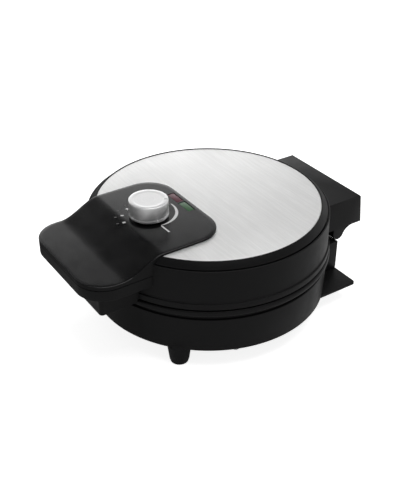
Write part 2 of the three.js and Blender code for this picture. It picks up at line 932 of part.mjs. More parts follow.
// Bosses under the panel for the thermostat's bracket, and in the handle for its own screws
function panelBosses() {
  const underside = panelTop - panelWall;
  const gripUnderside = handleTop - panelWall;
  const gripLow = handleBottom + panelWall + seat;
  return [-1, 1].flatMap((side) => [
    discAt(side * bracketScrewX, knobY, bossRadius, underside - bracketDrop, underside + edgeRound),
    discAt(side * handleScrewX, handleScrewY, bossRadius, gripLow, gripUnderside + edgeRound),
  ]);
}

function panelCuts() {
  const below = discTop - overrun;
  const above = panelTop + overrun;
  const holes = [-1, 1].flatMap((side) => [
    screwHole(side * bracketScrewX, knobY, 0, panelTop - panelWall + edgeRound),
    screwHole(side * handleScrewX, handleScrewY, 0, handleTop - edgeRound),
  ]);
  const windows = lensPlaces().map(([x]) => block(
    x - lensLength / 2,
    x + lensLength / 2,
    lensY - lensWidth / 2,
    lensY + lensWidth / 2,
    below,
    above,
  ));
  return [...holes, ...windows, discAt(0, knobY, collarRadius + seat, below, above, middleSides)];
}

function handlePanel() {
  return carved(joined(panelSkin(), ...panelBosses()), ...panelCuts());
}

function handleLowerShell() {
  const top = seamZ - seat;
  const wing = raised(handlePlan(0), handleBottom, top);
  const root = raised(rootPlan(0), rootBottom, top);
  const wingHollow = raised(handlePlan(panelWall), handleBottom + panelWall, top + overrun);
  const rootHollow = raised(rootPlan(panelWall), rootBottom + panelWall, top + overrun);
  const lidRoom = turned([
    [0, rootBottom - overrun],
    [baseLipRadius + runGap, rootBottom - overrun],
    [baseLipRadius + runGap, lidFloor],
    [lidLipRadius + seat, lidFloor],
    [lidLipRadius + seat, lidLipTop + seat],
    [lidFootRadius + seat, lidLipTop + seat],
    [lidFootRadius + seat, top + overrun],
    [0, top + overrun],
  ]);
  const rearHalf = block(
    -panelHalf - overrun,
    panelHalf + overrun,
    -lidWallRadius / 2,
    overrun,
    rootBottom - overrun,
    top + overrun,
  );
  const holes = [-1, 1].map((side) => (
    screwHole(side * handleScrewX, handleScrewY, handleBottom - overrun, top)
  ));
  return carved(joined(wing, root), wingHollow, rootHollow, lidRoom, rearHalf, ...holes);
}

// Cheek of the lid that holds the hinge pin: a round knuckle blended into the hinge block
function knuckleOutline(roof) {
  const filletZ = hingeBlockLow - knuckleFillet;
  const filletBehind = Math.sqrt((knuckleRadius + knuckleFillet) ** 2 - (hingeZ - filletZ) ** 2);
  const meeting = Math.atan2(filletZ - hingeZ, filletBehind);
  const filletY = hingeY + filletBehind;
  const outline = new THREE.Shape();
  outline.absarc(hingeY, hingeZ, knuckleRadius, -Math.PI, meeting, false);
  outline.absarc(filletY, filletZ, knuckleFillet, Math.PI + meeting, Math.PI / 2, true);
  outline.lineTo(filletY, roof);
  outline.lineTo(hingeY - knuckleRadius, roof);
  return outline;
}

// Side view of the hinge block, drawn in by inset at its rear and top
function hingeBlockOutline(inset, low) {
  const top = discTop - hingeBlockDrop - inset;
  const rear = hingeBlockRear - inset;
  const topRear = rear - hingeBlockLean;
  const front = lidWallRadius / 2;
  return polygon([
    [front, low],
    [rear, low],
    [topRear, top - hingeBlockChamfer],
    [topRear - hingeBlockChamfer, top],
    [front, top],
  ]);
}

const lidLedge = parting + ledgeFace;
const lidLedgeTop = lidLedge + ledgeThickness;
const shelfTop = lidShoulder - shelfDrop;
const shelfLow = shelfTop - shelfThickness;
const lidInside = lidWallRadius - shellWall;

// Round wall of the lid with its lip, the ledge for the plate and the shelf for the bezel
function lidWall() {
  return turned([
    [lidLipRadius - edgeRound, lidFloor],
    [lidLipRadius, lidFloor + edgeRound],
    [lidLipRadius, lidLipTop - edgeRound],
    [lidLipRadius - edgeRound, lidLipTop],
    [lidFootRadius, lidLipTop],
    [lidWallRadius, lidShoulder - edgeRound],
    [lidWallRadius - edgeRound, lidShoulder],
    [bezelRadius + edgeRound, lidShoulder],
    [bezelRadius + edgeRound, shelfTop],
    [bezelRadius - shelfWidth, shelfTop],
    [bezelRadius - shelfWidth, shelfLow],
    [lidInside, shelfLow],
    [lidInside, lidLedgeTop],
    [ledgeInner, lidLedgeTop],
    [ledgeInner, lidLedge],
    [rimInner, lidLedge],
    [rimInner, lidFloor],
  ]);
}

// What stays free inside the lid's wall
function lidCavity() {
  return turned([
    [0, lidFloor - overrun],
    [rimInner, lidFloor - overrun],
    [rimInner, lidLedge],
    [ledgeInner, lidLedge],
    [ledgeInner, lidLedgeTop],
    [lidInside, lidLedgeTop],
    [lidInside, shelfLow],
    [0, shelfLow],
  ]);
}

// Hollow block at the rear with the two knuckles that turn about the hinge pins
function hingeBlock() {
  const shell = carved(
    across(hingeBlockOutline(0, hingeBlockLow), -hingeBlockHalf, hingeBlockHalf),
    across(
      hingeBlockOutline(shellWall, hingeBlockLow - overrun),
      shellWall - hingeBlockHalf,
      hingeBlockHalf - shellWall,
    ),
    disc(lidInside, lidFloor - overrun, discTop),
    disc(baseLipRadius + runGap, lidFloor - overrun, lidFloor),
  );
  const roof = discTop - hingeBlockDrop - shellWall;
  const inner = lugInnerX + lugWidth + runGap;
  const knuckles = [-1, 1].map((side) => {
    const [near, far] = [side * inner, side * hingeBlockHalf];
    return across(knuckleOutline(roof), Math.min(near, far), Math.max(near, far));
  });
  return carved(joined(shell, ...knuckles), lidCavity());
}

function upperHousing() {
  const notch = raised(handlePlan(-seat), seamZ - seat, discTop);
  const pinHoles = [-1, 1].map((side) => pinBore(side, 0, hingeBlockHalf - knuckleSkin));
  return carved(joined(lidWall(), hingeBlock()), notch, ...pinHoles);
}

function bezelShape() {
  const low = shelfTop + seat;
  const slopeFoot = low + shelfDrop + edgeRound;
  const ledge = discTop - discSheet - seat;
  const ring = turned([
    [bezelRadius, low],
    [bezelRadius, slopeFoot],
    [discRadius + seat, discTop - seat],
    [discRadius + seat, ledge],
    [discRadius - bezelLedge, ledge],
    [discRadius - bezelLedge, ledge - bezelWall],
    [discRadius - bezelWall, ledge - bezelWall],
    [bezelRadius - bezelWall, low],
  ]);
  return carved(ring, raised(handlePlan(-seat), low - overrun, discTop + overrun));
}

function steelTop() {
  const sheet = turned([
    [0, discTop - discSheet],
    [discRadius, discTop - discSheet],
    [discRadius, discTop - discSheet / 3],
    [discRadius - discSheet / 2, discTop],
    [0, discTop],
  ]);
  return carved(sheet, raised(handlePlan(panelRest), discTop - overrun, discTop + overrun));
}

function lensShape() {
  const top = panelTop - seat;
  const flangeTop = panelTop - panelWall - seat;
  const pane = block(
    seat - lensLength / 2,
    lensLength / 2 - seat,
    seat - lensWidth / 2,
    lensWidth / 2 - seat,
    flangeTop - lensFlangeThickness / 2,
    top,
  );
  const flange = block(
    -lensLength / 2 - lensFlange,
    lensLength / 2 + lensFlange,
    -lensWidth / 2 - lensFlange,
    lensWidth / 2 + lensFlange,
    flangeTop - lensFlangeThickness,
    flangeTop,
  );
  return joined(pane, flange);
}

const lensUnderside = panelTop - panelWall - seat - lensFlangeThickness;
const lampSeat = lensUnderside - seat - lampLength - runGap;

function lampShape() {
  return turned([
    [0, 0],
    [lampRadius, 0],
    [lampRadius, lampLength - lampRadius],
    [lampRadius * (1 - roundShare), lampLength - lampRadius * roundShare],
    [0, lampLength],
  ], smallSides);
}

// A strip with one sleeve for each lamp, its sleeves ending under the lenses
function lampHolder() {
  const outer = lampRadius + seat + lampHolderWall;
  const end = lensX + outer + lampHolderEnd;
  const floor = lampSeat - seat;
  const [front, rear] = [lensY - outer, lensY + outer];
  const strip = block(-lensAside - end, end - lensAside, front, rear, floor - lampHolderBase, floor);
  const sleeves = lensPlaces().map(([x]) => (
    discAt(x, lensY, outer, floor - lampHolderBase / 2, lensUnderside - seat, middleSides)
  ));
  const bores = lensPlaces().map(([x]) => (
    discAt(x, lensY, lampRadius + seat, floor, lensUnderside + overrun)
  ));
  return carved(joined(strip, ...sleeves), ...bores);
}

const bracketTop = panelTop - panelWall - bracketDrop - seat;
const bracketLow = bracketTop - bracketSheet;

function bracketShape() {
  const sheet = block(
    -bracketLength / 2,
    bracketLength / 2,
    knobY - bracketWidth / 2,
    knobY + bracketWidth / 2,
    bracketLow,
    bracketTop,
  );
  const holes = [-1, 1].map((side) => (
    screwHole(side * bracketScrewX, knobY, bracketLow - overrun, bracketTop + overrun)
  ));
  const [below, above] = [bracketLow - overrun, bracketTop + overrun];
  const collarHole = discAt(0, knobY, collarRadius + seat, below, above, middleSides);
  return carved(sheet, ...holes, collarHole);
}

// Thermostat can with the collar that guides the knob's shaft
function thermostatShape() {
  const top = bracketLow - seat;
  const low = top - thermostatHeight;
  const well = shaftRadius + seat;
  return turned([
    [0, low],
    [thermostatRadius - edgeRound, low],
    [thermostatRadius, low + edgeRound],
    [thermostatRadius, top],
    [collarRadius, top],
    [collarRadius, panelTop],
    [well, panelTop],
    [well, top - thermostatHeight / 2],
    [0, top - thermostatHeight / 2],
  ], middleSides);
}

function shaftShape() {
  const low = bracketLow - thermostatHeight / 2;
  return disc(shaftRadius, low, knobLow + shaftIntoKnob, middleSides);
}

function knobCap() {
  const top = knobLow + knobHeight;
  const bore = shaftRadius + seat;
  return turned([
    [bore, knobLow],
    [knobRadius - edgeRound, knobLow],
    [knobRadius, knobLow + edgeRound],
    [knobRadius, top - knobRound],
    [knobRadius - knobRound * roundShare, top - knobRound * roundShare],
    [knobRadius - knobRound, top],
    [0, top],
    [0, knobLow + shaftIntoKnob + seat],
    [bore, knobLow + shaftIntoKnob + seat],
  ], knobSides);
}

function knobSkirt() {
  const low = panelTop + runGap;
  const top = knobLow - seat;
  return turned([
    [shaftRadius + seat, top - (top - low) / 2],
    [skirtBore, top - (top - low) / 2],
    [skirtBore, low],
    [skirtRadius, low],
    [skirtRadius, top],
    [shaftRadius + seat, top],
  ], knobSides);
}

function lidLead() {
  const deck = parting + reflectorBack + seat + leadRadius;
  const can = bracketLow - seat - thermostatHeight;
  return lead([
    [0, knobY, can - seat - leadRadius],
    [leadHoleX / 2, knobY / 2, deck],
    [leadHoleX, leadHoleY, deck],
  ], 'lid_lead');
}

function fuseShape() {
  const barrel = turned([
    [0, -fuseLength / 2],
    [fuseRadius, -fuseLength / 2],
    [fuseRadius, fuseLength / 2 - fuseRadius],
    [fuseRadius / 3, fuseLength / 2],
    [0, fuseLength / 2],
  ], smallSides);
  return barrel.rotateX(Math.PI / 2);
}

function buildKnob() {
  return group(
    placed(piece('knob_cap', knobCap(), silverKnob), 0, knobY, 0),
    placed(piece('knob_skirt', knobSkirt(), blackPlastic), 0, knobY, 0),
    placed(piece('knob_shaft', shaftShape(), plainSteel), 0, knobY, 0),
  );
}

function buildLid() {
  const heater = heatingSet('upper');
  heater.rotation.y = Math.PI;
  heater.position.z = parting;
  const lenses = lensPlaces().map(([x, name]) => (
    placed(piece(`${name}_lens`, lensShape(), name === 'red' ? redLens : greenLens), x, lensY, 0)
  ));
  const lamps = lensPlaces().map(([x, name]) => (
    placed(piece(`${name}_lamp`, lampShape(), lampGlass), x, lensY, lampSeat)
  ));
  const bracketScrews = [-1, 1].map((side) => {
    const name = side < 0 ? 'bracket_screw_left' : 'bracket_screw_right';
    const screw = piece(name, screwShape(bracketScrewLength), plainSteel);
    return placed(screw, side * bracketScrewX, knobY, bracketLow - seat);
  });
  const handleScrews = [-1, 1].map((side) => {
    const name = side < 0 ? 'handle_screw_left' : 'handle_screw_right';
    const screw = piece(name, screwShape(screwLength), plainSteel);
    return placed(screw, side * handleScrewX, handleScrewY, handleBottom - seat);
  });
  const fuse = piece('thermal_fuse', fuseShape(), aluminisedSheet);
  placed(fuse, -fuseX, fuseY, parting + reflectorBack + seat + fuseRadius);
  return group(
    piece('upper_housing', upperHousing(), blackPlastic),
    piece('top_bezel', bezelShape(), blackPlastic),
    piece('steel_top', steelTop(), brushedSteel),
    piece('handle_panel', handlePanel(), satinBlack),
    piece('handle_lower_shell', handleLowerShell(), blackPlastic),
    heater,
    ...lenses,
    ...lamps,
    piece('lamp_holder', lampHolder(), phenolic),
    piece('thermostat_bracket', bracketShape(), plainSteel),
    placed(piece('thermostat', thermostatShape(), plainSteel), 0, knobY, 0),
    ...bracketScrews,
    ...handleScrews,
    fuse,
    lidLead(),
    buildKnob(),
  );
}

const sandwichMaker = group(buildBase(), buildLid());
sandwichMaker.position.y = centring;

export default group(sandwichMaker);
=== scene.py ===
"""Looks of a round sandwich maker with a hinged lid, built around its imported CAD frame.

Lengths are in millimetres until a mesh is finished, and are then turned to metres.
The body stands on its vertical axis at x = 0, y = AXIS_Y. The handle is at -y, the hinge at +y.
"""

from math import atan2, cos, pi, radians, sin, sqrt, tan

import bmesh
import bpy
from mathutils import Matrix, Vector


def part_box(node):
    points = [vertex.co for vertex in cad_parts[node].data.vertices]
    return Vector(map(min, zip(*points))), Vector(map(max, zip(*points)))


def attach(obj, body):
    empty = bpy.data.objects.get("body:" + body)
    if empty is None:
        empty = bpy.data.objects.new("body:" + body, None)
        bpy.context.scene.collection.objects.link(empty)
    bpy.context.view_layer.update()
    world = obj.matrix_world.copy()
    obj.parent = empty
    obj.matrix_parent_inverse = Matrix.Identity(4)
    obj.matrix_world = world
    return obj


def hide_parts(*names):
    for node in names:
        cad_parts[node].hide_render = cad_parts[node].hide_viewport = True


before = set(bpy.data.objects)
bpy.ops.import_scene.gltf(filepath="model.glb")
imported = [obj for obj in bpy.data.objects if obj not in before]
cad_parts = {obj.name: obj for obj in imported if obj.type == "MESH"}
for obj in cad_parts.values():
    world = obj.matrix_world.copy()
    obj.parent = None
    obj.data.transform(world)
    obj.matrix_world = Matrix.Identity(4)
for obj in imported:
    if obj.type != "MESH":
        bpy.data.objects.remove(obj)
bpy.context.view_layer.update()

MM = 0.001


# Measures read from the frame

def low(node):
    return Vector(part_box(node)[0]) / MM


def high(node):
    return Vector(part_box(node)[1]) / MM


def middle(node):
    return (low(node) + high(node)) / 2


SEAT = 0.3  # gap between two fitted pieces
RUN_GAP = 0.5  # gap between pieces that turn past each other
BEYOND = 5  # how far a cutter runs past what it cuts

AXIS_Y = high("top_bezel").y - high("top_bezel").x
BODY_AXIS = (0, AXIS_Y)
DISC_RADIUS = high("steel_top").x
DISC_TOP = high("steel_top").z
DISC_LOW = low("steel_top").z
BEZEL_RADIUS = high("top_bezel").x
BEZEL_LOW = low("top_bezel").z
BEZEL_PROUD = 0.4  # how far the bezel's rim stands above the steel
PARTING = (low("upper_hot_plate").z + high("lower_hot_plate").z) / 2
PARTING_GAP = 1
BASE_TOP = PARTING - PARTING_GAP / 2
LID_FLOOR = PARTING + PARTING_GAP / 2
BASE_FLOOR = high("base_cover").z + SEAT

BASE_LIP = 5.2  # height of the base's lip
BASE_LIP_RADIUS = high("lower_housing").x
BASE_WALL_RADIUS = BASE_LIP_RADIUS - 2
BASE_FOOT_RADIUS = BASE_LIP_RADIUS - 3.2
GROOVE = 4.4  # height of the groove under the base's lip
GROOVE_DEPTH = 2
LID_LIP = 5.8
LID_LIP_TOP = LID_FLOOR + LID_LIP
LID_LIP_RADIUS = high("upper_housing").x
LID_FOOT_RADIUS = LID_LIP_RADIUS - 1.3
LID_WALL_RADIUS = LID_LIP_RADIUS - 1.5
LID_SHOULDER = DISC_TOP - 5.3
SHELL_WALL = 2.5

PLATE_RADIUS = high("lower_hot_plate").x
PLATE_THICKNESS = 13
PLATE_FACE = 0.3  # each plate's face from the parting plane
LEDGE_WIDTH = 6.5
LEDGE_THICKNESS = 2.4
BASE_LEDGE = PARTING - PLATE_FACE - PLATE_THICKNESS - SEAT
LID_LEDGE = PARTING + PLATE_FACE + PLATE_THICKNESS + SEAT
RIM_RADIUS = PLATE_RADIUS + 1

PANEL_HALF = high("handle_panel").x
PANEL_FRONT = low("handle_panel").y
PANEL_REAR = high("handle_panel").y
PANEL_TOP = high("handle_panel").z
HANDLE_TOP = PANEL_TOP - 14
SEAM = HANDLE_TOP - 3.5
HANDLE_LOW = HANDLE_TOP - 13.6
PANEL_WALL = 2.5
PANEL_REST = 2.5  # width of the rim that lies on the steel top
PANEL_RINGS = 22  # how many rings close over the panel's top
MATT_BELOW = 0.8  # the moulding is glossy where its faces look up more than this, and matt on its sides
LENS_FLANGE = 0.7  # how far a window's flange reaches past its pane
PANEL_CORNER = 26
HANDLE_CORNER = 25
SWEEP_START = AXIS_Y - 80  # where the panel's top starts to fall to the handle
SWEEP_END = AXIS_Y - 118
ROOT_HALF = 46
ROOT_FRONT = AXIS_Y - 135
ROOT_CORNER = 3
ROOT_LOW = low("handle_lower_shell").z

HINGE_Y = middle("hinge_pin_right").y
HINGE_Z = middle("hinge_pin_right").z
KNUCKLE_RADIUS = HINGE_Z - low("upper_housing").z
KNUCKLE_FILLET = 12
LUG_RADIUS = 7.5
LUG_INNER = 23
LUG_WIDTH = 12.5
LUG_FOOT = 8
POST_HALF = 52
POST_REAR = high("base_cover").y
POST_TOP = HINGE_Z - KNUCKLE_RADIUS - RUN_GAP
BLOCK_HALF = 50
BLOCK_REAR = high("upper_housing").y
BLOCK_TOP = DISC_TOP - 15
BLOCK_LOW = LID_FLOOR - 2.1
BLOCK_LEAN = 3
BLOCK_CHAMFER = 1.5

KNOB_AXIS = (middle("knob_cap").x, middle("knob_cap").y)
SHAFT_BORE = 3.3  # round the knob's shaft, in its collar
SHAFT_HOLE = 5.3  # round the thermostat's collar, in the panel
POINTER_ANGLE = radians(56)

SCREW_HEAD = 2
SHANK_RADIUS = 1.8
SCREW_BORE = SHANK_RADIUS + SEAT
SCREW_BOSS = 4.5  # radius of the boss round a screw's bore
BOSS_OVERLAP = 0.8  # how far a boss runs into what carries it
THREAD_BORE = 1.6  # a screw cuts its own thread in it
PIN_RADIUS = 2.5
PIN_BORE = PIN_RADIUS + SEAT
COVER_SCREWS = [f"cover_screw_{i}" for i in (1, 2, 3, 4)]
LOWER_PLATE_SCREWS = [f"lower_plate_screw_{i}" for i in (1, 2, 3)]
UPPER_PLATE_SCREWS = [f"upper_plate_screw_{i}" for i in (1, 2, 3)]

FOOT_RADIUS = 10.5
FOOT_TAPER = 2
FOOT_RISE = 5  # how far a foot reaches up inside the wall
PAD_HEIGHT = 2.2
PAD_STEM = 3
PADS = ["foot_pad_front_right", "foot_pad_front_left", "foot_pad_rear_right", "foot_pad_rear_left"]

INLET_BUSH = "cord_inlet_bush"
BUSH_FLANGE = 2  # how far the flange reaches past the bush's barrel
CORD_FLANGE_HALF = 80.5
VENT_COUNT = 6
VENT_LENGTH = 44
VENT_WIDTH = 3
VENT_PITCH = 9

POCKET_REACH = PLATE_RADIUS - 8.5
POCKET_DEPTH = 10
POCKET_DRAFT = 4
POCKET_CORNER = 9
RIDGE = 9

SIDES = 192  # faces round the body
ROUNDING_STEPS = 4
ROUNDING_SHARE = 0.45  # of a side at most, so that two roundings never meet
STRAIGHT_ON = radians(178)  # a corner this open is left as it is
BEVEL_LIMIT = radians(30)  # flatter edges are left alone
ON_AXIS = 1e-6  # mm: a point this near is on the axis of a turned piece
SAME_POINT = 1e-7  # m: points this near are one


# Meshes

def softened(corners):
    """Outline with its corners rounded. A corner is (across, up, radius)."""
    outline = []
    for i, (x, y, radius) in enumerate(corners):
        here = Vector((x, y))
        before = Vector(corners[i - 1][:2]) - here
        after = Vector(corners[(i + 1) % len(corners)][:2]) - here
        turn = before.angle(after) if radius else pi
        if radius == 0 or turn > STRAIGHT_ON:
            outline.append((x, y))
            continue
        reach = min(radius / tan(turn / 2), ROUNDING_SHARE * before.length, ROUNDING_SHARE * after.length)
        centre = here + (before.normalized() + after.normalized()).normalized() * reach / cos(turn / 2)
        start = here + before.normalized() * reach - centre
        end = here + after.normalized() * reach - centre
        swing = start.angle(end)
        for step in range(ROUNDING_STEPS + 1):
            share = step / ROUNDING_STEPS
            spoke = start * sin((1 - share) * swing) + end * sin(share * swing)
            outline.append(tuple(centre + spoke / sin(swing)))
    return outline


def arc(centre, radius, start, sweep, steps, first=0):
    """Points along a stretch of a circle. Steps before the first are left out."""
    turns = [start + sweep * i / steps for i in range(first, steps + 1)]
    return [(centre[0] + radius * cos(turn), centre[1] + radius * sin(turn)) for turn in turns]


def quarter_round(radius, steps):
    """Steps of a rounded edge: what is left to go one way, and what has been gone the other way."""
    turns = [0.5 * pi * i / steps for i in range(steps + 1)]
    return [(radius * (1 - sin(turn)), radius * (1 - cos(turn))) for turn in turns]


def level(outline, height):
    return [(x, y, height) for x, y in outline]


def placed(name, data):
    """A new object in the scene."""
    obj = bpy.data.objects.new(name, data)
    bpy.context.scene.collection.objects.link(obj)
    return obj


def piece_from(name, points, faces):
    """A mesh object from points in millimetres."""
    mesh = bpy.data.meshes.new(name)
    mesh.from_pydata([Vector(p) * MM for p in points], [], faces)
    obj = placed(name, mesh)
    shell = bmesh.new()
    shell.from_mesh(mesh)
    bmesh.ops.remove_doubles(shell, verts=shell.verts, dist=SAME_POINT)
    bmesh.ops.recalc_face_normals(shell, faces=shell.faces)
    shell.to_mesh(mesh)
    shell.free()
    return obj


def turned(name, corners, place=(0, 0), sides=SIDES):
    """A closed outline of (radius, height, rounding) turned about the upright axis at place."""
    points, rings = [], []
    for radius, height in softened(corners):
        count = sides if radius > ON_AXIS else 1
        rings.append(range(len(points), len(points) + count))
        for i in range(count):
            angle = 2 * pi * i / sides
            points.append((place[0] + radius * cos(angle), place[1] + radius * sin(angle), height))
    faces = []
    for ring, upper in zip(rings, rings[1:] + rings[:1]):
        if len(ring) == 1 and len(upper) == 1:
            continue
        for i in range(sides):
            j = (i + 1) % sides
            around = [ring[i % len(ring)], ring[j % len(ring)], upper[j % len(upper)], upper[i % len(upper)]]
            faces.append(list(dict.fromkeys(around)))
    return piece_from(name, points, faces)


def stacked(name, rings):
    """A closed solid through rings of equally many points, with a flat face at both ends."""
    points = [point for ring in rings for point in ring]
    count = len(rings[0])
    faces = [list(range(count))[::-1], list(range(len(points) - count, len(points)))]
    for k in range(len(rings) - 1):
        for i in range(count):
            j = (i + 1) % count
            faces.append([k * count + i, k * count + j, (k + 1) * count + j, (k + 1) * count + i])
    return piece_from(name, points, faces)


def upright(name, outline, bottom, top):
    return stacked(name, [level(outline, bottom), level(outline, top)])


def across(name, outline, left, right):
    """An outline in y and z carried along x."""
    return stacked(name, [[(x, y, z) for y, z in outline] for x in (left, right)])


def baked(obj):
    """Applies the modifiers to the object's own mesh."""
    evaluated = obj.evaluated_get(bpy.context.evaluated_depsgraph_get())
    mesh = bpy.data.meshes.new_from_object(evaluated)
    obj.modifiers.clear()
    obj.data = mesh
    return obj


def edged(obj, width, segments=3):
    """Rounds the sharp edges."""
    bevel = obj.modifiers.new("edges", "BEVEL")
    bevel.width = width * MM
    bevel.segments = segments
    bevel.limit_method = "ANGLE"
    bevel.angle_limit = BEVEL_LIMIT
    return baked(obj)


def carved(obj, *cutters, operation="DIFFERENCE"):
    for cutter in cutters:
        boolean = obj.modifiers.new("cut", "BOOLEAN")
        boolean.operation = operation
        boolean.solver = "EXACT"
        boolean.object = cutter
        baked(obj)
        bpy.data.objects.remove(cutter)
    return obj


def merged(name, *parts):
    """One object from several closed solids."""
    shell = bmesh.new()
    for part in parts:
        shell.from_mesh(part.data)
        bpy.data.objects.remove(part)
    mesh = bpy.data.meshes.new(name)
    shell.to_mesh(mesh)
    shell.free()
    return placed(name, mesh)


def moved(obj, place, angle, axis):
    """Turns a mesh about an axis through the origin and then carries it to its place."""
    obj.data.transform(Matrix.Translation(Vector(place) * MM) @ Matrix.Rotation(angle, 4, axis))
    return obj


def dressed(obj, material, body, slot, *nodes, smooth=32):
    """Gives a finished piece its material and its place among the bodies."""
    obj.data.materials.clear()
    obj.data.materials.append(material)
    obj.data.shade_smooth()
    obj.data.set_sharp_from_angle(angle=radians(smooth))
    if nodes:
        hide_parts(*nodes)
    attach(obj, body)
    return obj


def rounded_plan(half, front, rear, front_corner, rear_corner, arc_steps=12, side_steps=1, end_steps=1):
    """Points round a rectangle with rounded corners, always as many for the same steps."""
    corners = [
        (half - front_corner, front + front_corner, front_corner, -90),
        (half - rear_corner, rear - rear_corner, rear_corner, 0),
        (rear_corner - half, rear - rear_corner, rear_corner, 90),
        (front_corner - half, front + front_corner, front_corner, 180),
    ]
    outline = []
    for k, (x, y, radius, start) in enumerate(corners):
        for i in range(arc_steps + 1):
            angle = radians(start + 90 * i / arc_steps)
            outline.append((x + radius * cos(angle), y + radius * sin(angle)))
        next_x, next_y, next_radius, next_start = corners[(k + 1) % 4]
        ahead = radians(next_start)
        goal = (next_x + next_radius * cos(ahead), next_y + next_radius * sin(ahead))
        last = outline[-1]
        steps = side_steps if k % 2 == 0 else end_steps
        for i in range(1, steps):
            share = i / steps
            outline.append((last[0] + (goal[0] - last[0]) * share, last[1] + (goal[1] - last[1]) * share))
    return outline


def disc(name, radius, bottom, top, place, sides=SIDES):
    return turned(name, [(0, bottom, 0), (radius, bottom, 0), (radius, top, 0), (0, top, 0)], place, sides)


def box_cutter(name, lowest, highest):
    (x0, y0, z0), (x1, y1, z1) = lowest, highest
    return upright(name, [(x0, y0), (x1, y0), (x1, y1), (x0, y1)], z0, z1)


def screw_boss(name, foot, roof, tip, place, sides):
    """Post with a blind bore from its foot up to the screw's tip."""
    return turned(name, [
        (SCREW_BORE, foot, 0.2),
        (SCREW_BOSS, foot, 0.4),
        (SCREW_BOSS, roof, 0),
        (0, roof, 0),
        (0, tip, 0),
        (SCREW_BORE, tip, 0),
    ], place, sides)


# Materials

def combined(tree, operation, first, second):
    """The sum, product or the like of two values, each a socket or a number."""
    node = tree.nodes.new("ShaderNodeMath")
    node.operation = operation
    for socket, value in zip(node.inputs, (first, second)):
        if isinstance(value, bpy.types.NodeSocket):
            tree.links.new(value, socket)
        else:
            socket.default_value = value
    return node.outputs["Value"]


def carried(tree, value, from_low, from_high, to_low, to_high, interpolation="LINEAR"):
    """A value carried over from one range to another."""
    node = tree.nodes.new("ShaderNodeMapRange")
    node.interpolation_type = interpolation
    for key, limit in zip(("From Min", "From Max", "To Min", "To Max"), (from_low, from_high, to_low, to_high)):
        node.inputs[key].default_value = limit
    tree.links.new(value, node.inputs["Value"])
    return node.outputs["Result"]


class Finish:
    """A node material with short names for the nodes that this object's finishes use."""

    def __init__(self, name):
        self.material = bpy.data.materials.new(name)
        self.material.use_nodes = True
        self.tree = self.material.node_tree
        self.surface = self.tree.nodes["Principled BSDF"]
        self.place = self.add("ShaderNodeTexCoord").outputs["Object"]

    def add(self, kind, **settings):
        node = self.tree.nodes.new(kind)
        for key, value in settings.items():
            setattr(node, key, value)
        return node

    def link(self, source, target):
        self.tree.links.new(source, target)

    def mapped(self, centre, scale=(1, 1, 1)):
        mapping = self.add("ShaderNodeMapping")
        mapping.inputs["Location"].default_value = [-c * s * MM for c, s in zip(centre, scale)]
        mapping.inputs["Scale"].default_value = scale
        self.link(self.place, mapping.inputs["Vector"])
        return mapping.outputs["Vector"]

    def noise(self, per_metre, detail=2.0, roughness=0.5, place=None):
        noise = self.add("ShaderNodeTexNoise")
        noise.inputs["Scale"].default_value = per_metre
        noise.inputs["Detail"].default_value = detail
        noise.inputs["Roughness"].default_value = roughness
        self.link(place or self.place, noise.inputs["Vector"])
        return noise.outputs["Fac"]

    def span(self, value, *limits):
        return carried(self.tree, value, *limits)

    def mixed(self, share, first, second):
        mix = self.add("ShaderNodeMix", data_type="RGBA")
        for key, value in (("A", first), ("B", second)):
            socket = next(s for s in mix.inputs if s.name == key and s.type == "RGBA")
            if isinstance(value, bpy.types.NodeSocket):
                self.link(value, socket)
            else:
                socket.default_value = (*value, 1)
        self.link(share, mix.inputs["Factor"])
        return next(s for s in mix.outputs if s.type == "RGBA")

    def times(self, first, second):
        return combined(self.tree, "MULTIPLY", first, second)

    def worn_edges(self, width):
        """1 along edges that hands and cloths rub, 0 on the faces between them. On the black mouldings the same mask
        also paints a highlight along edges and lips.
        """
        rounding = self.add("ShaderNodeBevel", samples=4)
        rounding.inputs["Radius"].default_value = width * MM
        facing = self.add("ShaderNodeNewGeometry").outputs["Normal"]
        level = self.add("ShaderNodeVectorMath", operation="DOT_PRODUCT")
        self.link(rounding.outputs["Normal"], level.inputs[0])
        self.link(facing, level.inputs[1])
        return self.span(level.outputs["Value"], 0.995, 0.9, 0.0, 1.0)

    def bump(self, height, strength, distance):
        bump = self.add("ShaderNodeBump")
        bump.inputs["Strength"].default_value = strength
        bump.inputs["Distance"].default_value = distance * MM
        self.link(height, bump.inputs["Height"])
        self.link(bump.outputs["Normal"], self.surface.inputs["Normal"])

    def set(self, **values):
        names = {
            "metallic": "Metallic",
            "specular": "Specular IOR Level",
            "transmission": "Transmission Weight",
            "ior": "IOR",
        }
        for key, value in values.items():
            self.surface.inputs[names[key]].default_value = value

    def colour(self, source):
        self.link(source, self.surface.inputs["Base Color"])

    def roughness(self, source):
        self.link(source, self.surface.inputs["Roughness"])


def moulded_plastic(name, dark, light, grain, low_rough, high_rough, specular):
    """Black moulding: a fine eroded grain, faint clouding, and edges a little lighter, partly rubbing wear and partly
    a painted highlight along edges and lips.
    """
    finish = Finish(name)
    cloud = finish.noise(35, 4)
    # edges and lips lighter in colour: partly rubbing wear, partly painted highlight
    rubbed = finish.times(finish.worn_edges(0.7), finish.span(finish.noise(240, 3), 0.35, 0.7, 0.15, 0.6))
    body = finish.mixed(cloud, dark, [c * 1.25 for c in dark])
    finish.colour(finish.mixed(rubbed, body, light))
    handled = finish.span(finish.noise(60, 5, 0.6), 0.3, 0.7, low_rough, high_rough)
    finish.roughness(handled)
    finish.bump(finish.noise(grain, 2, 0.6), 0.25, 0.03)
    finish.set(specular=specular)
    return finish.material


